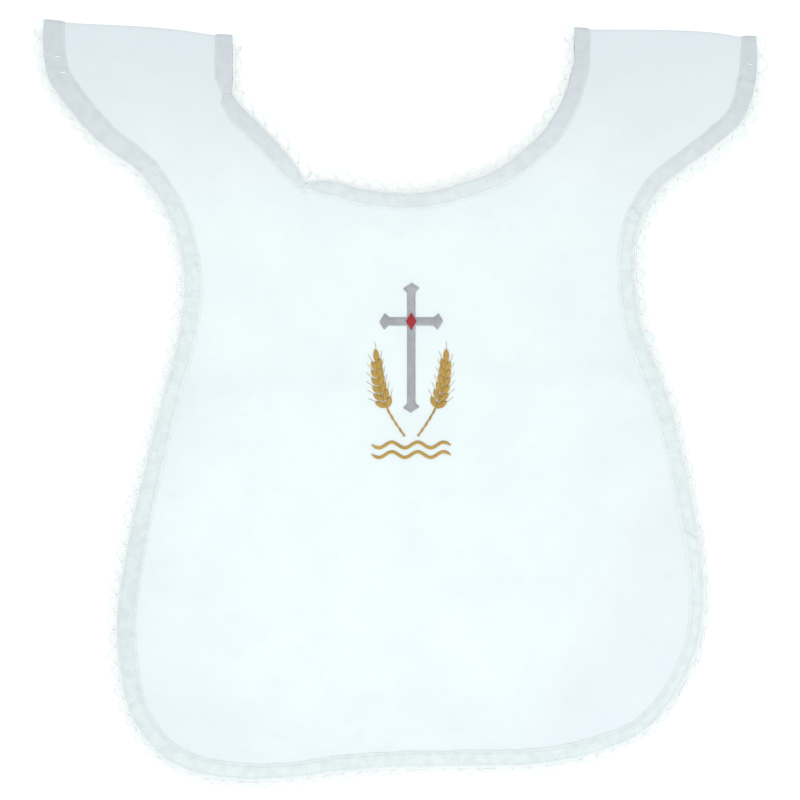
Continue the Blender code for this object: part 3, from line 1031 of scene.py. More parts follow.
CLOTH = ClothFinish(
    name="white_cotton_front",
    colour=(0.640, 0.702, 0.706),
    deep_colour=(0.50, 0.56, 0.585),
    roughness=0.88,
    shoulder_colour=(0.560, 0.604, 0.634),
    patchiness=0.12,
    lilac=1.0,
)
CLOTH_BACK = ClothFinish(
    name="white_cotton_back",
    colour=(0.632, 0.694, 0.698),
    deep_colour=(0.50, 0.56, 0.585),
    roughness=0.88,
    shoulder_colour=(0.556, 0.602, 0.632),
    patchiness=0.08,
)
# The tape is the panels' white cotton folded double; its greyer colours are painted shade, for the light
# its layers let through less
TAPE = ClothFinish(
    name="grey_white_bias_tape",
    colour=(0.586, 0.647, 0.650),
    deep_colour=(0.34, 0.378, 0.398),
    roughness=0.8,
    shoulder_colour=(0.482, 0.519, 0.544),
    threads_per_metre=1900.0,
    weave_depth=0.08 * MM,
    patches_per_metre=190.0,
    patchiness=0.17,
)
LACE_THREAD = ThreadFinish(
    name="white_lace_thread",
    colour=(0.825, 0.900, 0.882),
    deep_colour=(0.70, 0.765, 0.75),
    roughness=0.62,
    turns_per_metre=1100.0,
    twist_depth=0.04 * MM,
)
SEWING_THREAD = ThreadFinish(
    name="white_sewing_thread",
    colour=(0.575, 0.638, 0.642),
    deep_colour=(0.48, 0.53, 0.545),
    roughness=0.6,
    turns_per_metre=1800.0,
    twist_depth=0.05 * MM,
)
SILVER_THREAD = ThreadFinish(
    name="silver_grey_thread",
    colour=(0.440, 0.452, 0.478),
    deep_colour=(0.23, 0.24, 0.27),
    roughness=0.42,
)
GOLD_THREAD = ThreadFinish(
    name="gold_thread",
    colour=(0.520, 0.350, 0.085),
    deep_colour=(0.29, 0.17, 0.03),
    roughness=0.38,
)
RED_THREAD = ThreadFinish(
    name="red_thread",
    colour=(0.400, 0.022, 0.034),
    deep_colour=(0.19, 0.008, 0.012),
    roughness=0.42,
)


def place_piece(
    name: str, mesh: Mesh, finish: ClothFinish | ThreadFinish
) -> Object:
    """Make a piece of the garment from its mesh.

    Args:
        name: The piece's name.
        mesh: Its mesh, already in place.
        finish: What it is made of.

    Returns:
        The object, which rides on the garment's one body.
    """
    mesh.materials.clear()
    mesh.materials.append(finish.material())
    mesh.polygons.foreach_set("use_smooth", [True] * len(mesh.polygons))
    piece = bpy.data.objects.new(name, mesh)
    bpy.context.scene.collection.objects.link(piece)
    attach(piece, "root")
    return piece


def mesh_of(name: str, bm: BMesh) -> Mesh:
    """Turn a bmesh into a mesh and free it.

    Args:
        name: The mesh's name.
        bm: What it is made from.

    Returns:
        The mesh.
    """
    mesh = bpy.data.meshes.new(name)
    bm.to_mesh(mesh)
    bm.free()
    return mesh


@dataclass
class ThreadWork:
    """Threads of one piece, gathered as runs of points and then given their thickness at once."""

    name: str
    finish: ThreadFinish
    slot: str
    radius: float
    roundness: int = 0
    runs: list[tuple[list[Spot], list[float]]] = field(default_factory=list)

    def lay(self, points: Sequence[Spot], radii: Sequence[float] | float = 1.0) -> None:
        """Add one thread.

        Args:
            points: The points of its middle.
            radii: Its thickness at each point, as a part of the piece's own, or one for all.
        """
        thickness = [radii] * len(points) if isinstance(radii, (int, float)) else list(radii)
        self.runs.append((list(points), thickness))

    def make(self) -> Object:
        """Give every thread its round section and make the piece.

        Returns:
            The finished piece.
        """
        curve = bpy.data.curves.new(self.name, "CURVE")
        curve.dimensions = "3D"
        curve.bevel_depth = self.radius
        curve.bevel_resolution = self.roundness
        curve.use_fill_caps = True
        for points, radii in self.runs:
            spline = curve.splines.new("POLY")
            spline.points.add(len(points) - 1)
            flat = [value for point in points for value in (*point, 1.0)]
            spline.points.foreach_set("co", flat)
            spline.points.foreach_set("radius", radii)
        helper = bpy.data.objects.new(self.name, curve)
        mesh = bpy.data.meshes.new_from_object(helper)
        bpy.data.objects.remove(helper)
        bpy.data.curves.remove(curve)
        mesh.name = self.name
        return place_piece(self.name, mesh, self.finish)


@dataclass
class Panel:
    """One of the two panels: a thin shell on its solid's form, with creases and small pulls."""

    face: Face
    finish: ClothFinish
    creases: Sequence[Crease]
    spacing: float
    wave_height: float
    pull_height: float
    shades: Sequence[Shade] = ()
    relax_rounds: int = 12
    roll_steps: int = 8
    creases_from: Place = (12.0 * MM, 16.0 * MM)
    waves_from: Place = (PLATEAU_WIDTH, 26.0 * MM)
    pulls_from: Place = (12.0 * MM, 15.0 * MM)
    pulls_until: Place = (18.0 * MM, 40.0 * MM)
    zone_waver: float = 1.1 * MM
    trim_margin: float = 0.45
    relax_reach: float = 5.0
    # Painted shade just below the shoulder folds, and how far it reaches
    fold_grey: float = 0.26
    fold_grey_reach: float = 5.0 * MM
    crease_grey_reach: float = 6.5 * MM
    outline: np.ndarray = field(init=False)
    corners: list[int] = field(init=False)

    def __post_init__(self) -> None:
        """Lay the panel's cut edge."""
        self.outline, self.corners = self.cut_line()

    def build(self) -> Object:
        """Cut, shape and thicken the panel.

        Returns:
            The finished panel.
        """
        bm = bmesh.new()
        low, high = self.outline.min(axis=0), self.outline.max(axis=0)
        size = high - low
        counts = np.ceil(size / self.spacing).astype(int)
        bmesh.ops.create_grid(bm, x_segments=int(counts[0]), y_segments=int(counts[1]), size=0.5)
        bmesh.ops.scale(bm, vec=(*size, 1.0), verts=bm.verts)
        bmesh.ops.translate(bm, vec=(*((low + high) / 2), 0.0), verts=bm.verts)
        self.trim(bm)
        rim = self.grow_rim(bm)
        self.settle(bm, rim)
        self.lift(bm)
        if self.face is Face.FRONT:
            self.roll_over_shoulders(bm)
        for vertex in bm.verts:
            vertex.co.y += fold_bow(vertex.co.x, vertex.co.y)
        bmesh.ops.recalc_face_normals(bm, faces=bm.faces)
        name = f"{self.face.word}_panel_cloth"
        piece = place_piece(name, mesh_of(name, bm), self.finish)
        wall = piece.modifiers.new("wall", "SOLIDIFY")
        wall.thickness = CLOTH_THICKNESS
        wall.offset = 0.0
        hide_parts(f"{self.face.word}_panel")
        return piece

    def cut_line(self) -> tuple[np.ndarray, list[int]]:
        """Give the panel's cut edge as a closed loop.

        Returns:
            The loop's fine points, and the numbers of its sharp corners.
        """
        drop = np.array((0.0, self.face.drop))
        loop: list[np.ndarray] = []
        corners: list[int] = []
        for line, backwards in ((OUTER_LINE, False), (NECK_LINE, True)):
            inset = [point - line.outward(s) * PANEL_INSET for point, s in zip(line.points, line.along)]
            for end in (0, -1):
                inset[end] = np.array((inset[end][0], fold_up(inset[end][0]))) - drop
            sharp = list(line.sharp_at)
            if backwards:
                inset.reverse()
                sharp = [len(inset) - 1 - k for k in reversed(sharp)]
            keep = [
                k
                for k, point in enumerate(inset)
                if k in (0, len(inset) - 1) or point[1] < fold_up(point[0]) - drop[1] - 0.1 * MM
            ]
            corners.extend(len(loop) + keep.index(k) for k in sharp if k in keep)
            loop.extend(inset[k] for k in keep)
            start, end = inset[keep[-1]], self.fold_meets(line, backwards) - drop
            steps = round(np.linalg.norm(end - start) / EdgeLine.FINE_STEP)
            loop.extend(start + (end - start) * k / steps for k in range(1, steps))
        return np.array(loop), corners

    @staticmethod
    def fold_meets(line: EdgeLine, backwards: bool) -> np.ndarray:
        """Give the point of the shoulder fold where the next edge starts.

        Args:
            line: The edge that has ended.
            backwards: Whether it ran from its end to its start.

        Returns:
            The point.
        """
        other = NECK_LINE if line is OUTER_LINE else OUTER_LINE
        end = 0 if backwards else -1
        s = other.length if end else 0.0
        point = other.points[end] - other.outward(s) * PANEL_INSET
        return np.array((point[0], fold_up(point[0])))

    def trim(self, bm: BMesh) -> None:
        """Delete what lies outside the cut edge or too near it, and what hangs by one corner.

        Args:
            bm: The panel's mesh.
        """
        points = np.array([vertex.co[:2] for vertex in bm.verts])
        kept = self.inside(points) & (self.depths(points) > self.trim_margin * self.spacing)
        doomed = [vertex for vertex, keep in zip(bm.verts, kept) if not keep]
        while doomed:
            bmesh.ops.delete(bm, geom=doomed, context="VERTS")
            doomed = [
                vertex
                for vertex in bm.verts
                if not vertex.link_faces or sum(edge.is_boundary for edge in vertex.link_edges) > 2
            ]

    def grow_rim(self, bm: BMesh) -> list[BMVert]:
        """Extrude the trimmed grid's border and set the new points along the cut edge.

        Args:
            bm: The trimmed grid.

        Returns:
            The points on the cut edge.
        """
        border = [edge for edge in bm.edges if edge.is_boundary]
        grown = bmesh.ops.extrude_edge_only(bm, edges=border)["geom"]
        edges = [part for part in grown if isinstance(part, BMEdge)]
        loop = [edges[0].verts[0], edges[0].verts[1]]
        rim_edges = set(edges)
        while len(loop) < len(edges):
            onward = [
                edge.other_vert(loop[-1])
                for edge in loop[-1].link_edges
                if edge in rim_edges and edge.other_vert(loop[-1]) is not loop[-2]
            ]
            loop.append(onward[0])
        points = np.array([vertex.co[:2] for vertex in loop])
        if self.signed_area(points) * self.signed_area(self.outline) < 0:
            loop.reverse()
            points = points[::-1]
        self.spread_on_edge(loop, points)
        return loop

    @staticmethod
    def signed_area(points: np.ndarray) -> float:
        """Give a closed loop's area, which is negative where the loop runs clockwise."""
        after = np.roll(points, -1, axis=0)
        return float((points[:, 0] * after[:, 1] - after[:, 0] * points[:, 1]).sum() / 2)

    def spread_on_edge(self, loop: list[BMVert], points: np.ndarray) -> None:
        """Set a loop of points evenly on the cut edge, with one at each of its corners.

        Args:
            loop: The mesh's points, in order.
            points: Where they are now.
        """
        closed = np.vstack([self.outline, self.outline[:1]])
        along = np.concatenate([[0.0], np.cumsum(np.linalg.norm(np.diff(closed, axis=0), axis=1))])
        corner_spots = self.outline[self.corners]
        nearest = [int(np.argmin(np.linalg.norm(points - spot, axis=1))) for spot in corner_spots]
        order = sorted(zip(nearest, along[self.corners]), key=lambda pair: pair[1])
        total = along[-1]
        for (first, at), (last, end) in zip(order, order[1:] + [(order[0][0], order[0][1] + total)]):
            count = (last - first) % len(loop) or len(loop)
            for k in range(count):
                place = (at + (end - at) * k / count) % total
                vertex = loop[(first + k) % len(loop)]
                vertex.co.x = np.interp(place, along, closed[:, 0])
                vertex.co.y = np.interp(place, along, closed[:, 1])

    def settle(self, bm: BMesh, rim: list[BMVert]) -> None:
        """Relax the points near the cut edge, so that the faces there are of even size.

        Args:
            bm: The panel's mesh.
            rim: The points on the cut edge.
        """
        fixed = set(rim)
        points = np.array([vertex.co[:2] for vertex in bm.verts])
        near = self.depths(points) < self.relax_reach * self.spacing
        loose = [v for v, close in zip(bm.verts, near) if close and v not in fixed]
        for _ in range(self.relax_rounds):
            bmesh.ops.smooth_vert(
                bm, verts=loose, factor=0.5, use_axis_x=True, use_axis_y=True, use_axis_z=False
            )

    def inside(self, points: np.ndarray) -> np.ndarray:
        """Say which points lie inside the cut edge.

        Args:
            points: Places on the cloth, one in each row.

        Returns:
            True for each point inside.
        """
        crossed = np.zeros(len(points), bool)
        for (x1, y1), (x2, y2) in zip(self.outline, np.roll(self.outline, -1, axis=0)):
            if y1 == y2:
                continue
            spans = (points[:, 1] < max(y1, y2)) & (points[:, 1] >= min(y1, y2))
            crossed ^= spans & (points[:, 0] < x1 + (points[:, 1] - y1) * (x2 - x1) / (y2 - y1))
        return crossed

    def depths(self, points: np.ndarray) -> np.ndarray:
        """Give each point's distance from the cut edge.

        Args:
            points: Places on the cloth, one in each row.

        Returns:
            The distance of each.
        """
        tree = kdtree.KDTree(len(self.outline))
        for k, (x, y) in enumerate(self.outline):
            tree.insert((x, y, 0.0), k)
        tree.balance()
        return np.array([tree.find((x, y, 0.0))[2] for x, y in points])

    def lift(self, bm: BMesh) -> None:
        """Give every point its height: the panel's level, its step, creases, waves and pulls, and its
        painted shade.

        Args:
            bm: The panel's mesh.
        """
        bm.verts.ensure_lookup_table()
        points = np.array([vertex.co[:2] for vertex in bm.verts])
        depth = self.uneven_depth(points, self.depths(points))
        level = self.face.edge_z - LAYER * smooth_step(PLATEAU_WIDTH, STEP_END, depth)
        creases = self.crease_heights(points) * smooth_step(*self.creases_from, depth)
        waves = np.array([self.wave(x, y) for x, y in points]) * self.wave_height
        waves = waves * smooth_step(*self.waves_from, depth) * self.off_motif(points)
        pulls = np.array([self.pull(x, y) for x, y in points]) * self.pull_height
        pulls = pulls * smooth_step(*self.pulls_from, depth)
        pulls = pulls * smooth_fall(*self.pulls_until, depth)
        heights = level + np.maximum(creases, 0.0) + waves + pulls
        tone = bm.verts.layers.float.new(SHADE_LIGHT_ATTRIBUTE)
        for vertex, height, grey in zip(bm.verts, heights, self.tones(points)):
            vertex.co.z = height
            vertex[tone] = grey

    def uneven_depth(self, points: np.ndarray, depth: np.ndarray) -> np.ndarray:
        """Let the width of the raised edge zone waver by a little along the edge.

        Args:
            points: Places on the cloth, one in each row.
            depth: Their distances from the cut edge.

        Returns:
            The distances, a little changed.
        """
        waver = [soft_noise(x / (16 * MM), y / (16 * MM), 3.1) * self.zone_waver for x, y in points]
        wavers = (depth > PLATEAU_WIDTH - 1.5 * MM) & (depth < 30.0 * MM)
        return depth + np.where(wavers, np.array(waver), 0.0)

    @staticmethod
    def off_motif(points: np.ndarray) -> np.ndarray:
        """Give 0 under the chest embroidery and 1 away from it, with a soft border."""
        away = np.abs(points / MM + np.array(TABLE_MIDDLE) - MOTIF_MIDDLE) - MOTIF_HALF
        return smooth_step(0.0, 14.0, np.hypot(*np.maximum(away, 0.0).T))

    @staticmethod
    def wave(x: float, y: float) -> float:
        """Give the height of the cloth's large soft waves, from 0 to 1.

        Args:
            x: The place across the garment.
            y: The place up it.

        Returns:
            The share of the full height.
        """
        broad = soft_noise(x / (75 * MM), y / (105 * MM), 11.0)
        small = soft_noise(x / (30 * MM), y / (42 * MM), 5.0)
        return 0.5 + 0.5 * math.tanh(1.6 * broad + 0.8 * small)

    @staticmethod
    def pull(x: float, y: float) -> float:
        """Give the height of the small pulls that the tape's stitching makes, from 0 to 1."""
        return max(0.0, soft_noise(x / (7 * MM), y / (7 * MM), 8.0) + 0.25)

    @staticmethod
    def beside(crease: Crease, number: int, points: np.ndarray) -> tuple[np.ndarray, np.ndarray]:
        """Give each point's place beside a crease.

        Args:
            crease: The crease, which wanders a little to both sides.
            number: Its number, which sets how it wanders.
            points: The points.

        Returns:
            How far each is from the crease, to its left, and how strong the crease is there.
        """
        start, end = table_spots(((crease.across_1, crease.up_1), (crease.across_2, crease.up_2)))
        run = end - start
        length = np.linalg.norm(run)
        share = (points - start) @ run / length**2
        sway = np.array([soft_noise(t * length / (34 * MM), 0.0, 20.5 + number) for t in share])
        away = (points - start) @ np.array((-run[1], run[0])) / length
        fade = smooth_step(0.0, 0.16, share) * smooth_fall(0.84, 1.0, share)
        return away + sway * 0.35 * crease.half_width * MM, fade * (0.8 + 0.4 * sway)

    def crease_heights(self, points: np.ndarray) -> np.ndarray:
        """Give how high the creases lift the cloth at each point.

        Args:
            points: Places on the cloth, one in each row.

        Returns:
            The lift at each.
        """
        lift = np.zeros(len(points))
        for number, crease in enumerate(self.creases):
            away, strength = self.beside(crease, number, points)
            wide = crease.half_width * MM * np.where(away > 0, 0.8, crease.gentle_side)
            lift = np.maximum(lift, crease.height * MM * np.exp(-((away / wide) ** 2)) * strength)
        return lift

    def tones(self, points: np.ndarray) -> np.ndarray:
        """Give the painted shade of the cloth at each point: by the shoulder folds, along pressed creases
        and in soft areas.

        Args:
            points: Places on the cloth, one in each row.

        Returns:
            The painted shade at each.
        """
        tone = np.zeros(len(points))
        for number, crease in enumerate(self.creases):
            away, strength = self.beside(crease, number, points)
            # Painted shade along each pressed crease
            grey = crease.grey * np.exp(-((away / self.crease_grey_reach) ** 2))
            tone = np.maximum(tone, grey * strength)
        # Painted shade in a narrow band just below each shoulder fold, along the roll's top
        below = np.array([fold_up(x) - y if abs(x) > 85 * MM else 1.0 for x, y in points])
        shade_by_fold = self.fold_grey * np.exp(-below / self.fold_grey_reach)
        return tone + shade_at(self.shades, points) + np.where(below < 0.1, shade_by_fold, 0.0)

    def roll_over_shoulders(self, bm: BMesh) -> None:
        """Extrude the edges on the shoulder folds round the roll and on to the seam behind them.

        Args:
            bm: The panel's mesh.
        """
        radius = self.face.edge_z - FOLD_AXIS_Z

        def on_fold(vertex: BMVert) -> bool:
            """Say whether the vertex lies on a shoulder fold."""
            return abs(vertex.co.y - fold_up(vertex.co.x)) < 0.05 * MM

        rim = [edge for edge in bm.edges if edge.is_boundary and all(map(on_fold, edge.verts))]
        turns = [math.pi * (k + 1) / self.roll_steps for k in range(self.roll_steps)]
        rows = [(radius * math.sin(t), FOLD_AXIS_Z + radius * math.cos(t)) for t in turns]
        rows.append((-SEAM_BEHIND_FOLD / 2, FOLD_AXIS_Z - radius))
        rows.append((-SEAM_BEHIND_FOLD, FOLD_AXIS_Z - radius))
        for past_fold, height in rows:
            grown = bmesh.ops.extrude_edge_only(bm, edges=rim)["geom"]
            for vertex in (part for part in grown if isinstance(part, BMVert)):
                vertex.co.y = fold_up(vertex.co.x) + past_fold
                vertex.co.z = height
            rim = [part for part in grown if isinstance(part, BMEdge)]

    def flat_size(self) -> tuple[float, float, float]:
        """Give the cut's width, length and area, in metres."""
        size = self.outline.max(axis=0) - self.outline.min(axis=0)
        return float(size[0]), float(size[1]), abs(self.signed_area(self.outline))


@dataclass
class TapeStretch:
    """A stretch of tape along one line, with a top that may be lifted over the stretch before."""

    line: EdgeLine
    start: float
    end: float
    first_share: float
    last_share: float
    lift: float = 0.0
    start_width: float = 1.0
    end_width: float = 1.0
    rounded_start: bool = False
    wraps_start: bool = False
    wraps_end: bool = False


@dataclass
class Tape:
    """The folded bias tape along one edge, on the outside of one panel."""

    place: str
    face: Face
    whole: EdgeLine
    widths: Sequence[Share]
    pleats: Sequence[Pleat]
    thickness: float
    outer_shift: float
    seed: float
    step: float = 1.15 * MM
    pucker_height: float = 0.20 * MM
    rim: float = 0.40 * MM
    inner_rim: float = 1.60 * MM
    pale_width: float = 1.7 * MM
    sunk: float = 0.12 * MM
    corner: float = 3.2 * MM
    taper: float = 8.0 * MM
    outer_waver: float = 0.45 * MM
    inner_waver: float = 0.65 * MM
    top_columns: int = 9
    roll_steps: int = 8
    fold_blend: float = 9.0 * MM
    calm_reach: float = 6.0 * MM
    lap_fade: Place = (3.0 * MM, 11.0 * MM)
    outer_row: float = 1.3 * MM
    inner_row: float = 1.7 * MM
    row_half_width: float = 0.55 * MM
    stitch_length: float = 2.1 * MM
    stitch_gap: float = 0.55 * MM

    @property
    def foot_z(self) -> float:
        """Give the level of the side that lies on the panel."""
        return FOLD_AXIS_Z + self.face.way * TAPE_FOOT

    def width_at(self, share: float) -> float:
        """Give the tape's width at this share of the whole edge."""
        return float(np.interp(share, *zip(*self.widths))) * MM

    def width_on(self, stretch: TapeStretch, s: float) -> float:
        """Give the tape's width at a place on a stretch, which may narrow towards its ends.

        Args:
            stretch: The stretch of tape.
            s: How far along the stretch's line.

        Returns:
            The width.
        """
        near_start = smooth_fall(0.0, self.taper, s)
        near_end = smooth_fall(0.0, self.taper, stretch.line.length - s)
        part = 1.0 - (1.0 - stretch.start_width) * near_start - (1.0 - stretch.end_width) * near_end
        return self.width_at(self.share_at(stretch, s)) * part

    def inward(self, stretch: TapeStretch, s: float) -> np.ndarray:
        """Give the unit vector from the edge into the cloth, turned to the fold at a shoulder.

        Args:
            stretch: The stretch of tape.
            s: How far along the stretch's line.

        Returns:
            The vector.
        """
        away = -stretch.line.outward(min(max(s, 0.0), stretch.line.length))
        for wraps, end in ((stretch.wraps_start, 0.0), (stretch.wraps_end, stretch.line.length)):
            if wraps:
                outer, inner = fold_run(stretch.line.spot(end)[0])
                along = inner - outer if self.whole is OUTER_LINE else outer - inner
                along = along / np.linalg.norm(along)
                near = smooth_fall(0.0, self.fold_blend, abs(s - end))
                away = away * (1.0 - near) + along * near
        return away / np.linalg.norm(away)

    def wrap_length(self) -> float:
        """Give the length of tape from the fold's start to its end behind the shoulder."""
        return math.pi * TAPE_FOOT + SEAM_BEHIND_FOLD

    def spot(self, stretch: TapeStretch, s: float, across: float, rise: float) -> Spot:
        """Give a point of the tape.

        Args:
            stretch: The stretch that it is on.
            s: How far along the stretch's line, past its ends where the tape goes round a shoulder.
            across: How far in from the edge.
            rise: How far off the panel.

        Returns:
            The point.
        """
        line = stretch.line
        over = 0.0
        if stretch.wraps_start and s < 0.0:
            over, s = -s, 0.0
        elif stretch.wraps_end and s > line.length:
            over, s = s - line.length, line.length
        x, y = line.spot(s) + self.inward(stretch, s) * across
        if not over:
            y -= self.face.drop * smooth_fall(0.0, self.fold_blend, self.to_fold(stretch, s))
            return (x, y, self.foot_z + self.face.way * rise)
        turn = min(over / TAPE_FOOT, math.pi)
        y += (TAPE_FOOT + rise) * math.sin(turn) - max(0.0, over - math.pi * TAPE_FOOT)
        return (x, y, FOLD_AXIS_Z + (TAPE_FOOT + rise) * math.cos(turn))

    def to_fold(self, stretch: TapeStretch, s: float) -> float:
        """Give how far the place is from the nearer shoulder end of the line.

        Args:
            stretch: The stretch of tape.
            s: How far along the stretch's line.

        Returns:
            The distance.
        """
        ends = [s] if stretch.wraps_start else []
        ends += [stretch.line.length - s] if stretch.wraps_end else []
        return min(ends) if ends else math.inf

    def relief(self, stretch: TapeStretch, s: float, across: float, width: float) -> float:
        """Give how much the tape's outer face rises or sinks at a place.

        Args:
            stretch: The stretch of tape.
            s: How far along it.
            across: How far in from the edge.
            width: The tape's width there.

        Returns:
            The height to add, in metres.
        """
        share = across / width
        middle = math.sin(math.pi * min(max(share, 0.0), 1.0))
        rows = math.exp(-(((across - self.outer_row) / self.row_half_width) ** 2))
        rows += math.exp(-(((width - across - self.inner_row) / self.row_half_width) ** 2))
        coarse = soft_noise(s / (5.2 * MM), share * 1.6, self.seed)
        fine = soft_noise(s / (2.4 * MM), share * 2.4, self.seed + 7.0)
        rise = self.pucker_height * (0.9 * coarse + 0.5 * fine) * (0.35 + 0.65 * middle)
        rise += 0.10 * MM * middle - 0.02 * MM * rows
        for pleat in self.pleats:
            at = stretch.line.place_of(pleat.across, pleat.up)
            if np.linalg.norm(stretch.line.spot(at) - table_spots((pleat.across, pleat.up))) > 3 * MM:
                continue
            away = s - at - pleat.slant * (across - width / 2)
            spread = pleat.spread * MM / 2
            if away * pleat.steepness > 0:
                spread /= abs(pleat.steepness)
            rise += pleat.height * MM * math.exp(-((away / spread) ** 2))
            beyond = away * math.copysign(1.0, pleat.steepness) - 0.9 * MM
            rise -= 0.14 * MM * math.exp(-((beyond / (0.5 * MM)) ** 2))
        return rise

    def section(self, stretch: TapeStretch, s: float) -> list[Place]:
        """Give the closed section of the tape at one place.

        Args:
            stretch: The stretch of tape.
            s: How far along it.

        Returns:
            Pairs of how far in from the edge and how far off the panel, round the section.
        """
        width = self.width_on(stretch, s)
        calm = float(smooth_step(0.0, self.calm_reach, self.to_fold(stretch, s)))
        low = self.outer_waver * (self.ragged(s, 5.0) - self.outer_shift) * calm
        high = width + self.inner_waver * self.ragged(s, 3.0) * calm
        if stretch.rounded_start and s - stretch.start < self.corner:
            near = self.corner - (s - stretch.start)
            cut = self.corner - math.sqrt(max(self.corner**2 - near**2, 0.0))
            low, high = low + 0.6 * cut, high - cut
        rim = min(self.rim, (high - low) / 4)
        soft = min(self.inner_rim, (high - low) / 3)
        foot = -self.sunk
        columns = np.linspace(low + rim, high - soft, self.top_columns)
        top = [(across, self.top_at(stretch, s, across, width)) for across in columns]
        outer = [(low + 0.25 * rim, foot + 0.12 * MM), (low, foot + self.thickness * 0.5)]
        outer.append((low + 0.25 * rim, top[0][1] - 0.16 * MM))
        drop = top[-1][1] - foot
        inner = [(high - soft * part, foot + drop * rise) for part, rise in ((0.62, 0.80), (0.25, 0.38))]
        inner.append((high, foot + drop * 0.10))
        bottom = [(low + (high - low) * part, foot) for part in (0.93, 0.5, 0.1)]
        return outer + top + inner + bottom

    def top_at(self, stretch: TapeStretch, s: float, across: float, width: float) -> float:
        """Give how far off the panel the tape's outer face is, given the tape's width there."""
        lift = stretch.lift * smooth_fall(*self.lap_fade, s - stretch.start)
        return lift + self.thick_at(stretch, s, across / width) + self.relief(stretch, s, across, width)

    def thick_at(self, stretch: TapeStretch, s: float, share: float) -> float:
        """Give the tape's thickness, which is less at its inner edge and at a lapped end."""
        lapped = smooth_step(-0.5 * MM, 3.5 * MM, s - stretch.start) if stretch.rounded_start else 1.0
        return self.thickness * (1.0 - 0.35 * share**2) * (0.35 + 0.65 * lapped)

    def ragged(self, s: float, seed: float) -> float:
        """Give how an edge of the tape wavers, from about -1 to 1."""
        broad = soft_noise(s / (9.0 * MM), 0.8, self.seed + seed)
        return 0.8 * broad + 0.5 * soft_noise(s / (3.2 * MM), 1.8, self.seed + seed + 1.0)

    def stations(self, stretch: TapeStretch) -> list[float]:
        """Give the places along the stretch that get a section.

        Args:
            stretch: The stretch of tape.

        Returns:
            The places, in order.
        """
        count = round((stretch.end - stretch.start) / self.step)
        flat = list(np.linspace(stretch.start, stretch.end, count + 1))
        if self.face is Face.BACK:
            return flat
        turn = [math.pi * TAPE_FOOT * (k + 1) / self.roll_steps for k in range(self.roll_steps)]
        past = turn + [math.pi * TAPE_FOOT + SEAM_BEHIND_FOLD * part for part in (0.5, 1.0)]
        if stretch.wraps_start:
            flat = [-over for over in reversed(past)] + flat
        if stretch.wraps_end:
            flat += [stretch.line.length + over for over in past]
        return flat

    def share_at(self, stretch: TapeStretch, s: float) -> float:
        """Give the share of the whole edge at a place on the stretch."""
        part = min(max(s / stretch.line.length, 0.0), 1.0)
        return stretch.first_share + (stretch.last_share - stretch.first_share) * part

    def stretches(self) -> list[TapeStretch]:
        """Give the stretches that the tape was laid in.

        Returns:
            The stretches.
        """
        return [
            TapeStretch(self.whole, 0.0, self.whole.length, 0.0, 1.0, wraps_start=True, wraps_end=True)
        ]

    def build(self) -> Object:
        """Sweep every stretch's section along its line and close its ends.

        Returns:
            The finished tape.
        """
        whole = bmesh.new()
        whole.verts.layers.float.new(SHADE_LIGHT_ATTRIBUTE)
        for stretch in self.stretches():
            stations = self.stations(stretch)
            rings = [self.section(stretch, s) for s in stations]
            columns = len(rings[0])
            bm = bmesh.new()
            bmesh.ops.create_grid(bm, x_segments=columns, y_segments=len(rings) - 1, size=0.5)
            tone = bm.verts.layers.float.new(SHADE_LIGHT_ATTRIBUTE)
            for vertex in bm.verts:
                column = round((vertex.co.x + 0.5) * columns) % columns
                row = round((vertex.co.y + 0.5) * (len(rings) - 1))
                across, rise = rings[row][column]
                vertex.co = self.spot(stretch, stations[row], across, rise)
                # Painted shade less painted light, kept in the mesh's attribute
                vertex[tone] = self.greyness(vertex.co) - self.paleness(rings[row], across)
            bmesh.ops.remove_doubles(bm, verts=bm.verts, dist=0.001 * MM)
            ends = [edge for edge in bm.edges if edge.is_boundary]
            bmesh.ops.holes_fill(bm, edges=ends, sides=0)
            bmesh.ops.recalc_face_normals(bm, faces=bm.faces)
            part = mesh_of("stretch", bm)
            whole.from_mesh(part)
            bpy.data.meshes.remove(part)
        name = f"{self.place}_tape_{self.face.word}_cloth"
        mesh = mesh_of(name, whole)
        piece = place_piece(name, mesh, TAPE)
        mesh.set_sharp_from_angle(angle=math.radians(50.0))
        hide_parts(f"{self.place}_tape_{self.face.word}")
        return piece

    def paleness(self, ring: Sequence[Place], across: float) -> float:
        """Give the painted light that makes the tape paler at its thin outer wall and its inner edge,
        lifting the shade there.

        Args:
            ring: The section there.
            across: The place across it.

        Returns:
            The share of painted light that is added.
        """
        low, high = min(ring)[0], max(ring)[0]
        # Painted light at the outer wall and along the inner edge
        wall_light = 0.6 * smooth_fall(low, low + self.rim, across)
        return float(wall_light + 0.34 * smooth_step(high - self.pale_width, high, across))

    def greyness(self, point: Sequence[float]) -> float:
        """Give the painted shade of the tape at a point.

        Args:
            point: A point of the tape.

        Returns:
            The added painted shade.
        """
        if self.face is Face.BACK:
            return 0.0
        return float(shade_at(TAPE_SHADES, np.array([point[:2]]))[0])

    def sew(self) -> Object:
        """Make the two rows of stitches that hold the tape and the lace.

        Returns:
            The finished stitches.
        """
        name = f"{self.place}_tape_{self.face.word}_stitches"
        work = ThreadWork(name, SEWING_THREAD, "tape", 0.12 * MM)
        for stretch in self.stretches():
            reach = self.wrap_length() if self.face is Face.FRONT else 0.0
            first = stretch.start - (reach if stretch.wraps_start else -2.0 * MM)
            last = min(stretch.end, stretch.line.length) + (reach if stretch.wraps_end else -3.0 * MM)
            for row in (0, 1):
                s = first + 0.4 * MM
                while s + self.stitch_length < last:
                    self.stitch(work, stretch, s, row)
                    s += self.stitch_length + self.stitch_gap
        return work.make()

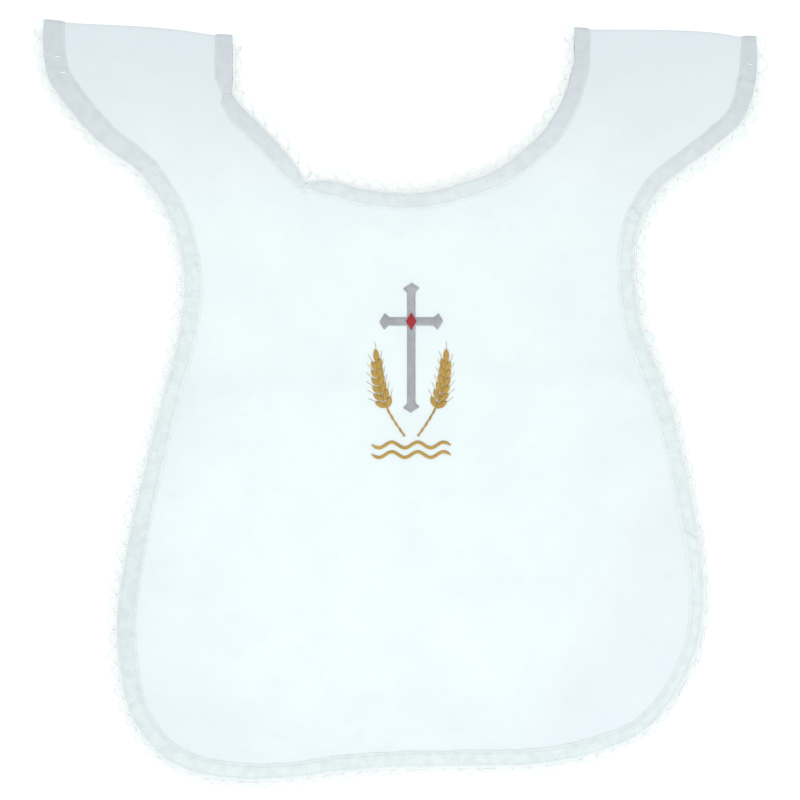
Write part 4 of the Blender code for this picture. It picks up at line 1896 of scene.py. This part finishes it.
    def leave_ends(self) -> list[Object]:
        """Make the short white thread ends that lie on the front's outer tape.

        Returns:
            The thread ends, or none.
        """
        if self.face is Face.BACK or self.whole is not OUTER_LINE:
            return []
        work = ThreadWork(f"{self.place}_tape_thread_ends", LACE_THREAD, "lace", 0.24 * MM)
        for place in THREAD_ENDS:
            self.lay_end(work, place)
        return [work.make()]

    def lay_end(self, work: ThreadWork, place: Place) -> None:
        """Lay a short thread end across the tape at one place.

        Args:
            work: The piece's thread work.
            place: Where its middle lies.
        """
        stretch = self.stretches()[0]
        s = stretch.line.place_of(*place)
        middle = float(np.dot(table_spots(place) - stretch.line.spot(s), self.inward(stretch, s)))
        width = self.width_on(stretch, s)
        points = []
        for part, rise in ((-1.0, -0.1), (-0.6, 0.24), (0.0, 0.30), (0.6, 0.24), (1.0, -0.1)):
            across = middle + 1.05 * MM * part
            top = self.top_at(stretch, s, across, width)
            points.append(self.spot(stretch, s + 0.3 * MM * part, across, top + rise * MM))
        work.lay(points)

    def stitch(self, work: ThreadWork, stretch: TapeStretch, start: float, row: int) -> None:
        """Lay one stitch on the tape's outer face, with its ends sunk in.

        Args:
            work: The piece's thread work.
            stretch: The stretch of tape.
            start: How far along the line it starts.
            row: The number of its row.
        """
        points = []
        waver = 0.12 * MM * soft_noise(start / (3 * MM), row * 5.0, self.seed)
        for part, rise in ((0.0, -0.14), (0.18, 0.01), (0.5, 0.06), (0.82, 0.01), (1.0, -0.14)):
            s = start + self.stitch_length * part
            width = self.width_on(stretch, s)
            across = (self.outer_row if row == 0 else width - self.inner_row) + waver
            top = self.top_at(stretch, s, across, width)
            points.append(self.spot(stretch, s, across, top + rise * MM))
        work.lay(points)


@dataclass
class JoinedNeckTape(Tape):
    """The front neck tape, laid in three stretches that overlap where the neck bends sharply."""

    overlaps: Place = (1.6 * MM, 3.4 * MM)
    tails: Place = (2.2 * MM, 3.0 * MM)
    narrowings: tuple[Place, ...] = ((1.0, 0.76), (1.10, 0.92), (0.86, 1.0))
    lap_lift: float = 0.50 * MM

    def stretches(self) -> list[TapeStretch]:
        """Give the three stretches, each but the first with a rounded end on the one before.

        Returns:
            The stretches.
        """
        parts = [self.whole.part(k, k + 1) for k in range(3)]
        bounds = np.cumsum([0.0] + [part.length for part in parts])
        bounds = bounds / bounds[-1]
        return [
            TapeStretch(
                line=part,
                start=-self.overlaps[k - 1] if k else 0.0,
                end=part.length + (self.tails[k] if k < 2 else 0.0),
                first_share=bounds[k],
                last_share=bounds[k + 1],
                lift=self.lap_lift if k else 0.0,
                start_width=self.narrowings[k][0],
                end_width=self.narrowings[k][1],
                rounded_start=k > 0,
                wraps_start=k == 0,
                wraps_end=k == 2,
            )
            for k, part in enumerate(parts)
        ]


@dataclass
class Lace:
    """Picot lace past one edge: a narrow footing and a row of arches with open middles."""

    place: str
    face: Face
    line: EdgeLine
    reaches: Sequence[Share]
    grounds: Sequence[Share]
    seed: int
    pitch: float = 9.2 * MM
    peak: float = 5.9 * MM
    valley: float = 1.75 * MM
    droop: float = 1.2 * MM
    braid_half: float = 0.40 * MM
    footing_rise: float = 0.55 * MM
    thread_radius: float = 0.13 * MM
    ground_thread: float = 0.60
    lowest: float = 0.15 * MM
    tip_above: float = 0.2
    back_ground: float = 0.55
    reach_range: Place = (0.80, 1.12)
    ground_range: Place = (0.6, 1.2)
    most_lean: float = 0.07
    most_sag: float = 0.25 * MM
    footing_reach: float = 1.6 * MM
    full_reach: float = 6.4 * MM
    steps: int = 12
    count: int = field(init=False)
    scales: list[float] = field(init=False)
    leans: list[float] = field(init=False)
    sags: list[float] = field(init=False)
    crossings: list[int] = field(init=False)

    def __post_init__(self) -> None:
        """Count the arches and draw how each differs from the others."""
        self.count = max(2, round(self.line.length / self.pitch))
        chance = random.Random(self.seed)
        middles = [(k + 0.5) / self.count for k in range(self.count)]
        self.scales = [
            float(np.interp(share, *zip(*self.reaches))) * chance.uniform(*self.reach_range)
            for share in middles
        ]
        self.leans = [chance.uniform(-self.most_lean, self.most_lean) for _ in middles]
        self.sags = [chance.uniform(-self.most_sag, self.most_sag) for _ in middles]
        part = 1.0 if self.face is Face.FRONT else self.back_ground
        self.crossings = [
            round(np.interp(share, *zip(*self.grounds)) * chance.uniform(*self.ground_range) * part)
            for share in middles
        ]

    def build(self) -> Object:
        """Work the footing, the arches and their picots in thread.

        Returns:
            The finished lace.
        """
        name = f"{self.place}_lace_{self.face.word}_thread"
        work = ThreadWork(name, LACE_THREAD, "lace", self.thread_radius)
        self.lay_footing(work)
        for offset, thick in ((self.braid_half, 0.85), (-self.braid_half, 0.7)):
            path = [
                self.on_arch(k, step / self.steps, offset)
                for k in range(self.count)
                for step in range(self.steps)
            ]
            path.append(self.on_arch(self.count - 1, 1.0, offset))
            work.lay(path, thick)
        self.lay_filling(work)
        self.lay_ground(work)
        self.lay_picots(work)
        if self.face is Face.FRONT:
            self.lay_tips(work)
        piece = work.make()
        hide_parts(f"{self.place}_lace_{self.face.word}")
        return piece

    def spot(self, share: float, reach: float, rise: float = 0.0) -> Spot:
        """Give the point this many arches along and this far past the edge.

        Args:
            share: The number of arches along.
            reach: The distance past the edge.
            rise: The height above the lace's own.

        Returns:
            The point.
        """
        s = self.line.length * share / self.count
        base = self.line.spot(s)
        if self.face is Face.BACK:
            base = base - (0.0, self.shoulder_drop(s))
        x, y = base + self.line.outward(s) * reach
        near = smooth_fall(0.5 * MM, 3.0 * MM, reach)
        rise += self.face.way * self.footing_rise * near
        z = self.face.edge_z - self.droop * max(reach, 0.0) / self.full_reach + rise
        return (x, y, max(z, self.lowest))

    def shoulder_drop(self, s: float) -> float:
        """Give how far the back's lace starts below the shoulder fold, fading along the edge."""
        near = min(s, self.line.length - s)
        return self.face.drop * float(smooth_fall(0.0, 9.0 * MM, near))

    def on_arch(self, k: int, t: float, offset: float) -> Spot:
        """Give a point of the arch's braid.

        Args:
            k: The arch's number.
            t: The share of the arch, from its first valley to its second.
            offset: How far outside the braid's middle.

        Returns:
            The point.
        """
        form = math.sin(math.pi * t) ** 0.8 if 0.0 < t < 1.0 else 0.0
        ends = (k == 0 and t < 0.5) or (k == self.count - 1 and t > 0.5)
        low = self.peak * 0.85 if ends else self.valley
        reach = low + (self.peak * self.scales[k] - low) * form
        slope = math.cos(math.pi * t)
        share = k + t + self.leans[k] * form - 0.055 * slope * np.sign(offset)
        weight = 0.55 + 0.45 * form
        return self.spot(share, reach + offset * weight, self.sags[k] * form)

    def lay_footing(self, work: ThreadWork) -> None:
        """Lay the three threads next to the tape and the one that winds between them.

        Args:
            work: The piece's thread work.
        """
        for reach, thick in ((-0.25 * MM, 0.8), (0.65 * MM, 0.5), (self.footing_reach, 0.6)):
            work.lay([self.spot(k / 5, reach) for k in range(self.count * 5 + 1)], thick)
        winding = []
        for k in range(self.count * 12 + 1):
            reach = -0.2 * MM if k % 2 else self.footing_reach
            winding.append(self.spot(k / 12, reach, 0.08 * MM * (1 if k % 4 < 2 else -1)))
        work.lay(winding, 0.45)

    def lay_filling(self, work: ThreadWork) -> None:
        """Wind a thread between the two threads of the arches.

        Args:
            work: The piece's thread work.
        """
        path = []
        for k in range(self.count):
            for step in range(2 * self.steps):
                side = self.braid_half * (0.9 if step % 2 else -0.9)
                x, y, z = self.on_arch(k, step / (2 * self.steps), side)
                path.append((x, y, z + 0.1 * MM * (1 if step % 4 < 2 else -1)))
        work.lay(path, 0.55)

    def lay_ground(self, work: ThreadWork) -> None:
        """Cross most arches' open middles with fine threads, and join these by two thin bows.

        Args:
            work: The piece's thread work.
        """
        for k, crossings in enumerate(self.crossings):
            if crossings < 2:
                continue
            bows = [[], []]
            thick = self.ground_thread * (0.78 + crossings / 15)
            for t in np.linspace(0.12, 0.88, crossings):
                foot = np.array(self.spot(k + 0.5 + (t - 0.5) * 0.8, self.footing_reach))
                head = np.array(self.on_arch(k, t, -self.braid_half))
                sway = 0.12 * MM * soft_noise(k * 0.7, t * 6.0, self.seed)
                thirds = [foot + (head - foot) * part + sway for part in (0.36, 0.68)]
                work.lay([foot, *thirds, head], thick)
                for bow, point in zip(bows, thirds):
                    bow.append(point)
            for bow in bows:
                work.lay(bow, thick)

    def lay_picots(self, work: ThreadWork) -> None:
        """Set small loops along the outside of each arch.

        Args:
            work: The piece's thread work.
        """
        for k in range(self.count):
            for t in (0.17, 0.33, 0.5, 0.67, 0.83):
                size = 0.85 * MM if t == 0.5 else 0.62 * MM
                turns = [math.pi * turn / 5 for turn in range(6)]
                offsets = [self.braid_half + size * math.sin(turn) for turn in turns]
                places = [t - 0.045 * math.cos(turn) for turn in turns]
                work.lay([self.on_arch(k, *at) for at in zip(places, offsets)], 0.6)

    def lay_tips(self, work: ThreadWork) -> None:
        """Fan threads into a point at each end, where the lace is folded double at the shoulder.

        Args:
            work: The piece's thread work.
        """
        for end, way in ((0.0, 1.0), (float(self.count), -1.0)):
            for k in range(16):
                fan = ((0.036 * k, -0.2), (0.021 * k, 2.7), (0.006 * k, 5.8 - 0.03 * k))
                at = [(end + way * (along - self.tip_above), reach * MM) for along, reach in fan]
                work.lay([self.spot(*place) for place in at], [1.25, 1.2, 0.9])


@dataclass
class Motif:
    """The chest embroidery, in mm: a cross with a lozenge, two ears of wheat and two waves."""

    across: float = MOTIF_MIDDLE[0]
    cross_top: float = 63.5
    cross_foot: float = -6.0
    bar_up: float = 43.0
    bar_reach: float = 17.0
    arm_half: float = 2.2
    bud_half: float = 4.4
    bud_depth: float = 5.0
    lozenge_half: Place = (2.9, 4.6)
    lozenge_lift: float = 0.9
    ear_foot: Place = (3.6, -19.0)
    ear_tip: Place = (19.0, 26.0)
    ear_bulge: float = 4.5
    ear_bare_share: float = 0.38
    ear_grains: int = 6
    grain_reach: float = 4.3
    wave_half_length: float = 21.0
    wave_length: float = 14.0
    wave_height: float = 1.5
    wave_half_width: float = 0.8
    waves_up: Place = (-23.8, -29.0)
    cloth_top: float = 2.06
    thread_radius: float = 0.21
    thread_gap: float = 0.36

    def start(self, name: str, finish: ThreadFinish, slot: str) -> ThreadWork:
        """Start the threads of one part."""
        return ThreadWork(name, finish, slot, self.thread_radius * MM)

    def lay_satin(
        self, work: ThreadWork, first: Place, last: Place, height: float, lifted: float = 0.0
    ) -> None:
        """Lay one satin stitch between two places, arched over the padding.

        Args:
            work: The piece's thread work.
            first: Where it starts.
            last: Where it ends.
            height: How high it arches.
            lifted: How far its ends lie above the cloth.
        """
        base = self.cloth_top + lifted
        points = []
        for part in (0.0, 0.08, 0.25, 0.5, 0.75, 0.92, 1.0):
            x = first[0] + (last[0] - first[0]) * part
            y = first[1] + (last[1] - first[1]) * part
            rise = height * (1.0 - abs(2.0 * part - 1.0) ** 2.6)
            flat = table_spots((self.across + x, y))
            points.append((flat[0], flat[1], (base + rise) * MM))
        work.lay(points, [0.8, 1.0, 1.0, 1.0, 1.0, 1.0, 0.8])

    def lay_line(self, work: ThreadWork, places: Sequence[Place], z: float, thick: float) -> None:
        """Lay a thread along places at one height."""
        flat = table_spots([(self.across + x, y) for x, y in places])
        work.lay([(x, y, z * MM) for x, y in flat], thick)

    def arm_half_at(self, from_tip: float) -> float:
        """Give half the cross arm's width this far from its tip."""
        shape = ((0.0, 0.25), (self.bud_depth / 2, self.bud_half), (self.bud_depth, self.arm_half))
        return float(np.interp(from_tip, *zip(*shape)))

    @staticmethod
    def cross_stitch(chance: random.Random, half: float) -> tuple[float, float, float]:
        """Give how far a stitch of the cross reaches to either side, and its height over the cloth."""
        first, last = (half + chance.uniform(-0.07, 0.10) for _ in range(2))
        return first, last, 0.42 + 0.17 * half

    def build_cross(self) -> Object:
        """Work the cross in silver-grey satin stitch, higher where it is wider.

        Returns:
            The finished cross.
        """
        work = self.start("embroidery_cross_thread", SILVER_THREAD, "silver_thread")
        chance = random.Random(3)
        for y in np.arange(self.cross_foot, self.cross_top, self.thread_gap):
            half = self.arm_half_at(min(y - self.cross_foot, self.cross_top - y))
            left, right, height = self.cross_stitch(chance, half)
            self.lay_satin(work, (-left, y - 0.25), (right, y + 0.25), height)
        for x in np.arange(self.arm_half + 0.1, self.bar_reach, self.thread_gap):
            half = self.arm_half_at(self.bar_reach - x)
            for side in (-1.0, 1.0):
                down, up, height = self.cross_stitch(chance, half)
                first = (side * x - 0.2, self.bar_up - down)
                last = (side * x + 0.2, self.bar_up + up)
                self.lay_satin(work, first, last, height)
        piece = work.make()
        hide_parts("embroidery_cross")
        return piece

    def build_lozenge(self) -> Object:
        """Work the small red lozenge that lies on the crossing.

        Returns:
            The finished lozenge.
        """
        work = self.start("embroidery_lozenge_thread", RED_THREAD, "red_thread")
        wide, tall = self.lozenge_half
        for y in np.arange(-tall + 0.15, tall, self.thread_gap * 0.9):
            half = max(0.25, wide * (1.0 - abs(y) / tall))
            up = self.bar_up + y
            self.lay_satin(work, (-half, up), (half, up), 0.75, self.lozenge_lift)
        piece = work.make()
        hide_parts("embroidery_lozenge")
        return piece

    def on_stalk(self, share: float, aside: float, mirror: float) -> Place:
        """Give a place beside the stalk.

        Args:
            share: How far up the stalk.
            aside: How far beside it.
            mirror: 1 for one ear and -1 for the other.

        Returns:
            The place.
        """
        foot, tip = Vector(self.ear_foot), Vector(self.ear_tip)
        run = tip - foot
        square = Vector((run.y, -run.x)).normalized()
        place = foot + run * share + square * (self.ear_bulge * math.sin(math.pi * share) + aside)
        return mirror * place.x, place.y

    def build_ear(self, word: str, mirror: float) -> Object:
        """Work one ear of wheat: a twisted stalk, padded grains and fine awns.

        Args:
            word: The side, as in the node's name.
            mirror: 1 for one ear and -1 for the other.

        Returns:
            The finished ear.
        """
        work = self.start(f"embroidery_ear_{word}_thread", GOLD_THREAD, "gold_thread")
        for offset, rise in ((-0.35, 0.25), (0.35, 0.25), (0.0, 0.55)):
            places = []
            for k in range(41):
                waver = 0.16 * math.sin(k * 1.9 + offset * 6.0)
                places.append(self.on_stalk(k / 40 * 0.985, offset + waver, mirror))
            self.lay_line(work, places, self.cloth_top + rise, 1.0)
        pace = (1.0 - self.ear_bare_share) / (self.ear_grains + 1)
        for side in (-1.0, 1.0):
            for k in range(self.ear_grains):
                reach = self.grain_reach * (1.0 - 0.09 * k)
                root = self.on_stalk(self.ear_bare_share + pace * k, side * 0.5, mirror)
                point = self.on_stalk(self.ear_bare_share + pace * (k + 1.1), side * reach, mirror)
                self.lay_grain(work, root, point)
        self.lay_grain(work, self.on_stalk(0.9, 0.0, mirror), self.on_stalk(1.04, 0.0, mirror))
        piece = work.make()
        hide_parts(f"embroidery_ear_{word}")
        return piece

    def lay_grain(self, work: ThreadWork, root: Place, point: Place) -> None:
        """Lay one grain: satin stitches across it, and an awn past its point.

        Args:
            work: The piece's thread work.
            root: Where it starts.
            point: Where it ends.
        """
        start, end = np.array(root), np.array(point)
        run = end - start
        length = float(np.linalg.norm(run))
        run = run / length
        square = np.array((-run[1], run[0]))
        for at in np.arange(0.1, length, self.thread_gap):
            part = at / length
            half = 0.2 + 1.35 * math.sin(math.pi * min(part * 0.92 + 0.06, 1.0)) ** 0.8
            middle = start + run * at
            first, last = middle - square * half - run * 0.25, middle + square * half + run * 0.25
            self.lay_satin(work, tuple(first), tuple(last), 0.35 + 0.32 * half)
        awn = [tuple(end + run * t * 4.2 + square * 0.5 * t * t) for t in np.linspace(-0.1, 1.0, 6)]
        self.lay_line(work, awn, self.cloth_top + 0.14, 0.55)

    def build_wave(self, word: str, up: float) -> Object:
        """Work one wave as a narrow slanting satin band.

        Args:
            word: The wave, as in the node's name.
            up: The place of its middle line.

        Returns:
            The finished wave.
        """
        work = self.start(f"embroidery_wave_{word}_thread", GOLD_THREAD, "gold_thread")
        for x in np.arange(-self.wave_half_length, self.wave_half_length, self.thread_gap * 0.85):
            turn = math.tau * x / self.wave_length
            y = up + self.wave_height * math.sin(turn)
            slope = self.wave_height * math.cos(turn) * math.tau / self.wave_length
            square = np.array((-slope, 1.0)) / math.hypot(slope, 1.0)
            lean = np.array((square[1], -square[0])) * 0.45
            half = self.wave_half_width * min(1.0, 0.3 + 0.35 * (self.wave_half_length - abs(x)))
            middle = np.array((x, y))
            first, last = middle - square * half - lean, middle + square * half + lean
            self.lay_satin(work, tuple(first), tuple(last), 0.62)
        piece = work.make()
        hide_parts(f"embroidery_wave_{word}")
        return piece

    def build(self) -> list[Object]:
        """Work every part of the motif.

        Returns:
            The finished pieces.
        """
        pieces = [self.build_cross(), self.build_lozenge()]
        pieces += [self.build_ear("left", -1.0), self.build_ear("right", 1.0)]
        pieces += [self.build_wave(word, up) for word, up in zip(("upper", "lower"), self.waves_up)]
        return pieces


@dataclass
class Stage:
    """The floor, the light and the camera."""

    floor_half: float = 3.0
    floor_drop: float = 0.05 * MM
    floor_colour: Colour = (0.30, 0.305, 0.305)
    glow_colour: Colour = (1.0, 1.0, 1.0)
    glow: float = 0.72
    world_colour: Colour = (0.985, 0.995, 1.0)
    world_strength: float = 1.18
    key_place: Spot = (0.15, -1.35, 1.60)
    key_size: float = 1.1
    key_power: float = 16.0
    camera_place: Spot = (-0.00003, 0.00249, 1.0225)
    lens: float = 85.0

    def build(self) -> None:
        """Set up everything round the garment."""
        self.lay_floor()
        self.light()
        self.aim_camera()
        bpy.context.scene.view_settings.view_transform = "Standard"

    def lay_floor(self) -> None:
        """Lay the plain floor just under the garment, glowing white as a light table does."""
        bm = bmesh.new()
        bmesh.ops.create_grid(bm, x_segments=2, y_segments=2, size=self.floor_half)
        bmesh.ops.translate(bm, vec=(0.0, 0.0, -self.floor_drop), verts=bm.verts)
        floor = bpy.data.objects.new("floor", mesh_of("floor", bm))
        material = bpy.data.materials.new("pale_floor")
        material.use_nodes = True
        shader = material.node_tree.nodes["Principled BSDF"]
        shader.inputs["Base Color"].default_value = (*self.floor_colour, 1.0)
        shader.inputs["Roughness"].default_value = 0.9
        shader.inputs["Emission Color"].default_value = (*self.glow_colour, 1.0)
        shader.inputs["Emission Strength"].default_value = self.glow
        floor.data.materials.append(material)
        bpy.context.scene.collection.objects.link(floor)

    def light(self) -> None:
        """Light the garment from all round, and a little more from beyond its hem."""
        world = bpy.data.worlds.new("studio")
        world.use_nodes = True
        background = world.node_tree.nodes["Background"]
        background.inputs["Color"].default_value = (*self.world_colour, 1.0)
        background.inputs["Strength"].default_value = self.world_strength
        bpy.context.scene.world = world
        lamp = bpy.data.lights.new("key", "AREA")
        lamp.size = self.key_size
        lamp.energy = self.key_power
        key = bpy.data.objects.new("key", lamp)
        key.location = self.key_place
        key.rotation_euler = (-Vector(self.key_place)).to_track_quat("-Z", "Y").to_euler()
        bpy.context.scene.collection.objects.link(key)

    def aim_camera(self) -> None:
        """Hang the camera over the garment, looking straight down."""
        lens = bpy.data.cameras.new("camera")
        lens.lens = self.lens
        camera = bpy.data.objects.new("camera", lens)
        camera.location = self.camera_place
        bpy.context.scene.collection.objects.link(camera)
        bpy.context.scene.camera = camera


def report(piece: Object) -> None:
    """Write one line on a finished piece to the log.

    Args:
        piece: The finished piece.
    """
    graph = bpy.context.evaluated_depsgraph_get()
    shown = piece.evaluated_get(graph)
    mesh = shown.to_mesh()
    triangles = sum(len(face.vertices) - 2 for face in mesh.polygons)
    shown.to_mesh_clear()
    REPORT.info("%s: %d triangles", piece.name, triangles)


@dataclass(frozen=True)
class Edging:
    """The tape and the lace of one edge of the garment, with the tables and seed that they follow."""

    place: str
    line: EdgeLine
    widths: Sequence[Share]
    pleats: Sequence[Pleat]
    reaches: Sequence[Share]
    grounds: Sequence[Share]
    outer_shift: float
    seed: int
    front_thickness: float = 0.60 * MM
    back_thickness: float = 0.80 * MM
    back_seed_step: int = 40

    def tape(self, face: Face) -> Tape:
        """Give the tape of one panel, laid in stretches where it is the front's round the neck.

        Args:
            face: The panel's side of the garment.

        Returns:
            The tape, not built yet.
        """
        front = face is Face.FRONT
        kind = JoinedNeckTape if front and self.line is NECK_LINE else Tape
        return kind(
            self.place,
            face,
            self.line,
            self.widths,
            self.pleats if front else (),
            thickness=self.front_thickness if front else self.back_thickness,
            outer_shift=self.outer_shift,
            seed=float(self.seed),
        )

    def lace(self, face: Face) -> Lace:
        """Give the lace of one panel."""
        seed = self.seed if face is Face.FRONT else self.seed + self.back_seed_step
        return Lace(self.place, face, self.line, self.reaches, self.grounds, seed)

    def dress(self, face: Face, cloth: Object) -> list[Object]:
        """Sew the tape and the lace to one panel.

        Args:
            face: The panel's side of the garment.
            cloth: The panel; not used.

        Returns:
            The tape and the lace.
        """
        tape = self.tape(face)
        band = tape.build()
        sewing = [tape.sew(), *tape.leave_ends()]
        lace = self.lace(face).build()
        length = self.line.length + (2 * tape.wrap_length() if face is Face.FRONT else 0.0)
        mean = float(np.mean([tape.width_at(k / 50) for k in range(51)]))
        for piece in (band, *sewing, lace):
            report(piece)
        return [band, lace]


EDGINGS = (
    Edging(
        place="edge",
        line=OUTER_LINE,
        widths=OUTER_TAPE,
        pleats=OUTER_PLEATS,
        reaches=OUTER_LACE_REACH,
        grounds=OUTER_LACE_GROUND,
        outer_shift=0.45,
        seed=5,
    ),
    Edging(
        place="neck",
        line=NECK_LINE,
        widths=NECK_TAPE,
        pleats=NECK_PLEATS,
        reaches=NECK_LACE_REACH,
        grounds=NECK_LACE_GROUND,
        outer_shift=-0.1,
        seed=9,
    ),
)


def main() -> None:
    """Build the garment and its surroundings."""
    logging.basicConfig(level=logging.INFO, format="%(message)s")
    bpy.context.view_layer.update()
    Stage().build()
    panels = {
        Face.FRONT: Panel(
            face=Face.FRONT,
            finish=CLOTH,
            creases=FRONT_CREASES,
            spacing=2.0 * MM,
            wave_height=0.45 * MM,
            pull_height=0.30 * MM,
            shades=FRONT_SHADES,
        ),
        Face.BACK: Panel(
            face=Face.BACK,
            finish=CLOTH_BACK,
            creases=BACK_CREASES,
            spacing=2.4 * MM,
            wave_height=0.15 * MM,
            pull_height=0.10 * MM,
        ),
    }
    motif = Motif().build()
    for face, panel in panels.items():
        cloth = panel.build()
        report(cloth)
        on_panel = []
        for edging in EDGINGS:
            on_panel += edging.dress(face, cloth)
        width, length, area = panel.flat_size()
        if face is Face.FRONT:
            on_panel += motif
    for piece in motif:
        report(piece)


if __name__ == "__main__":
    main()
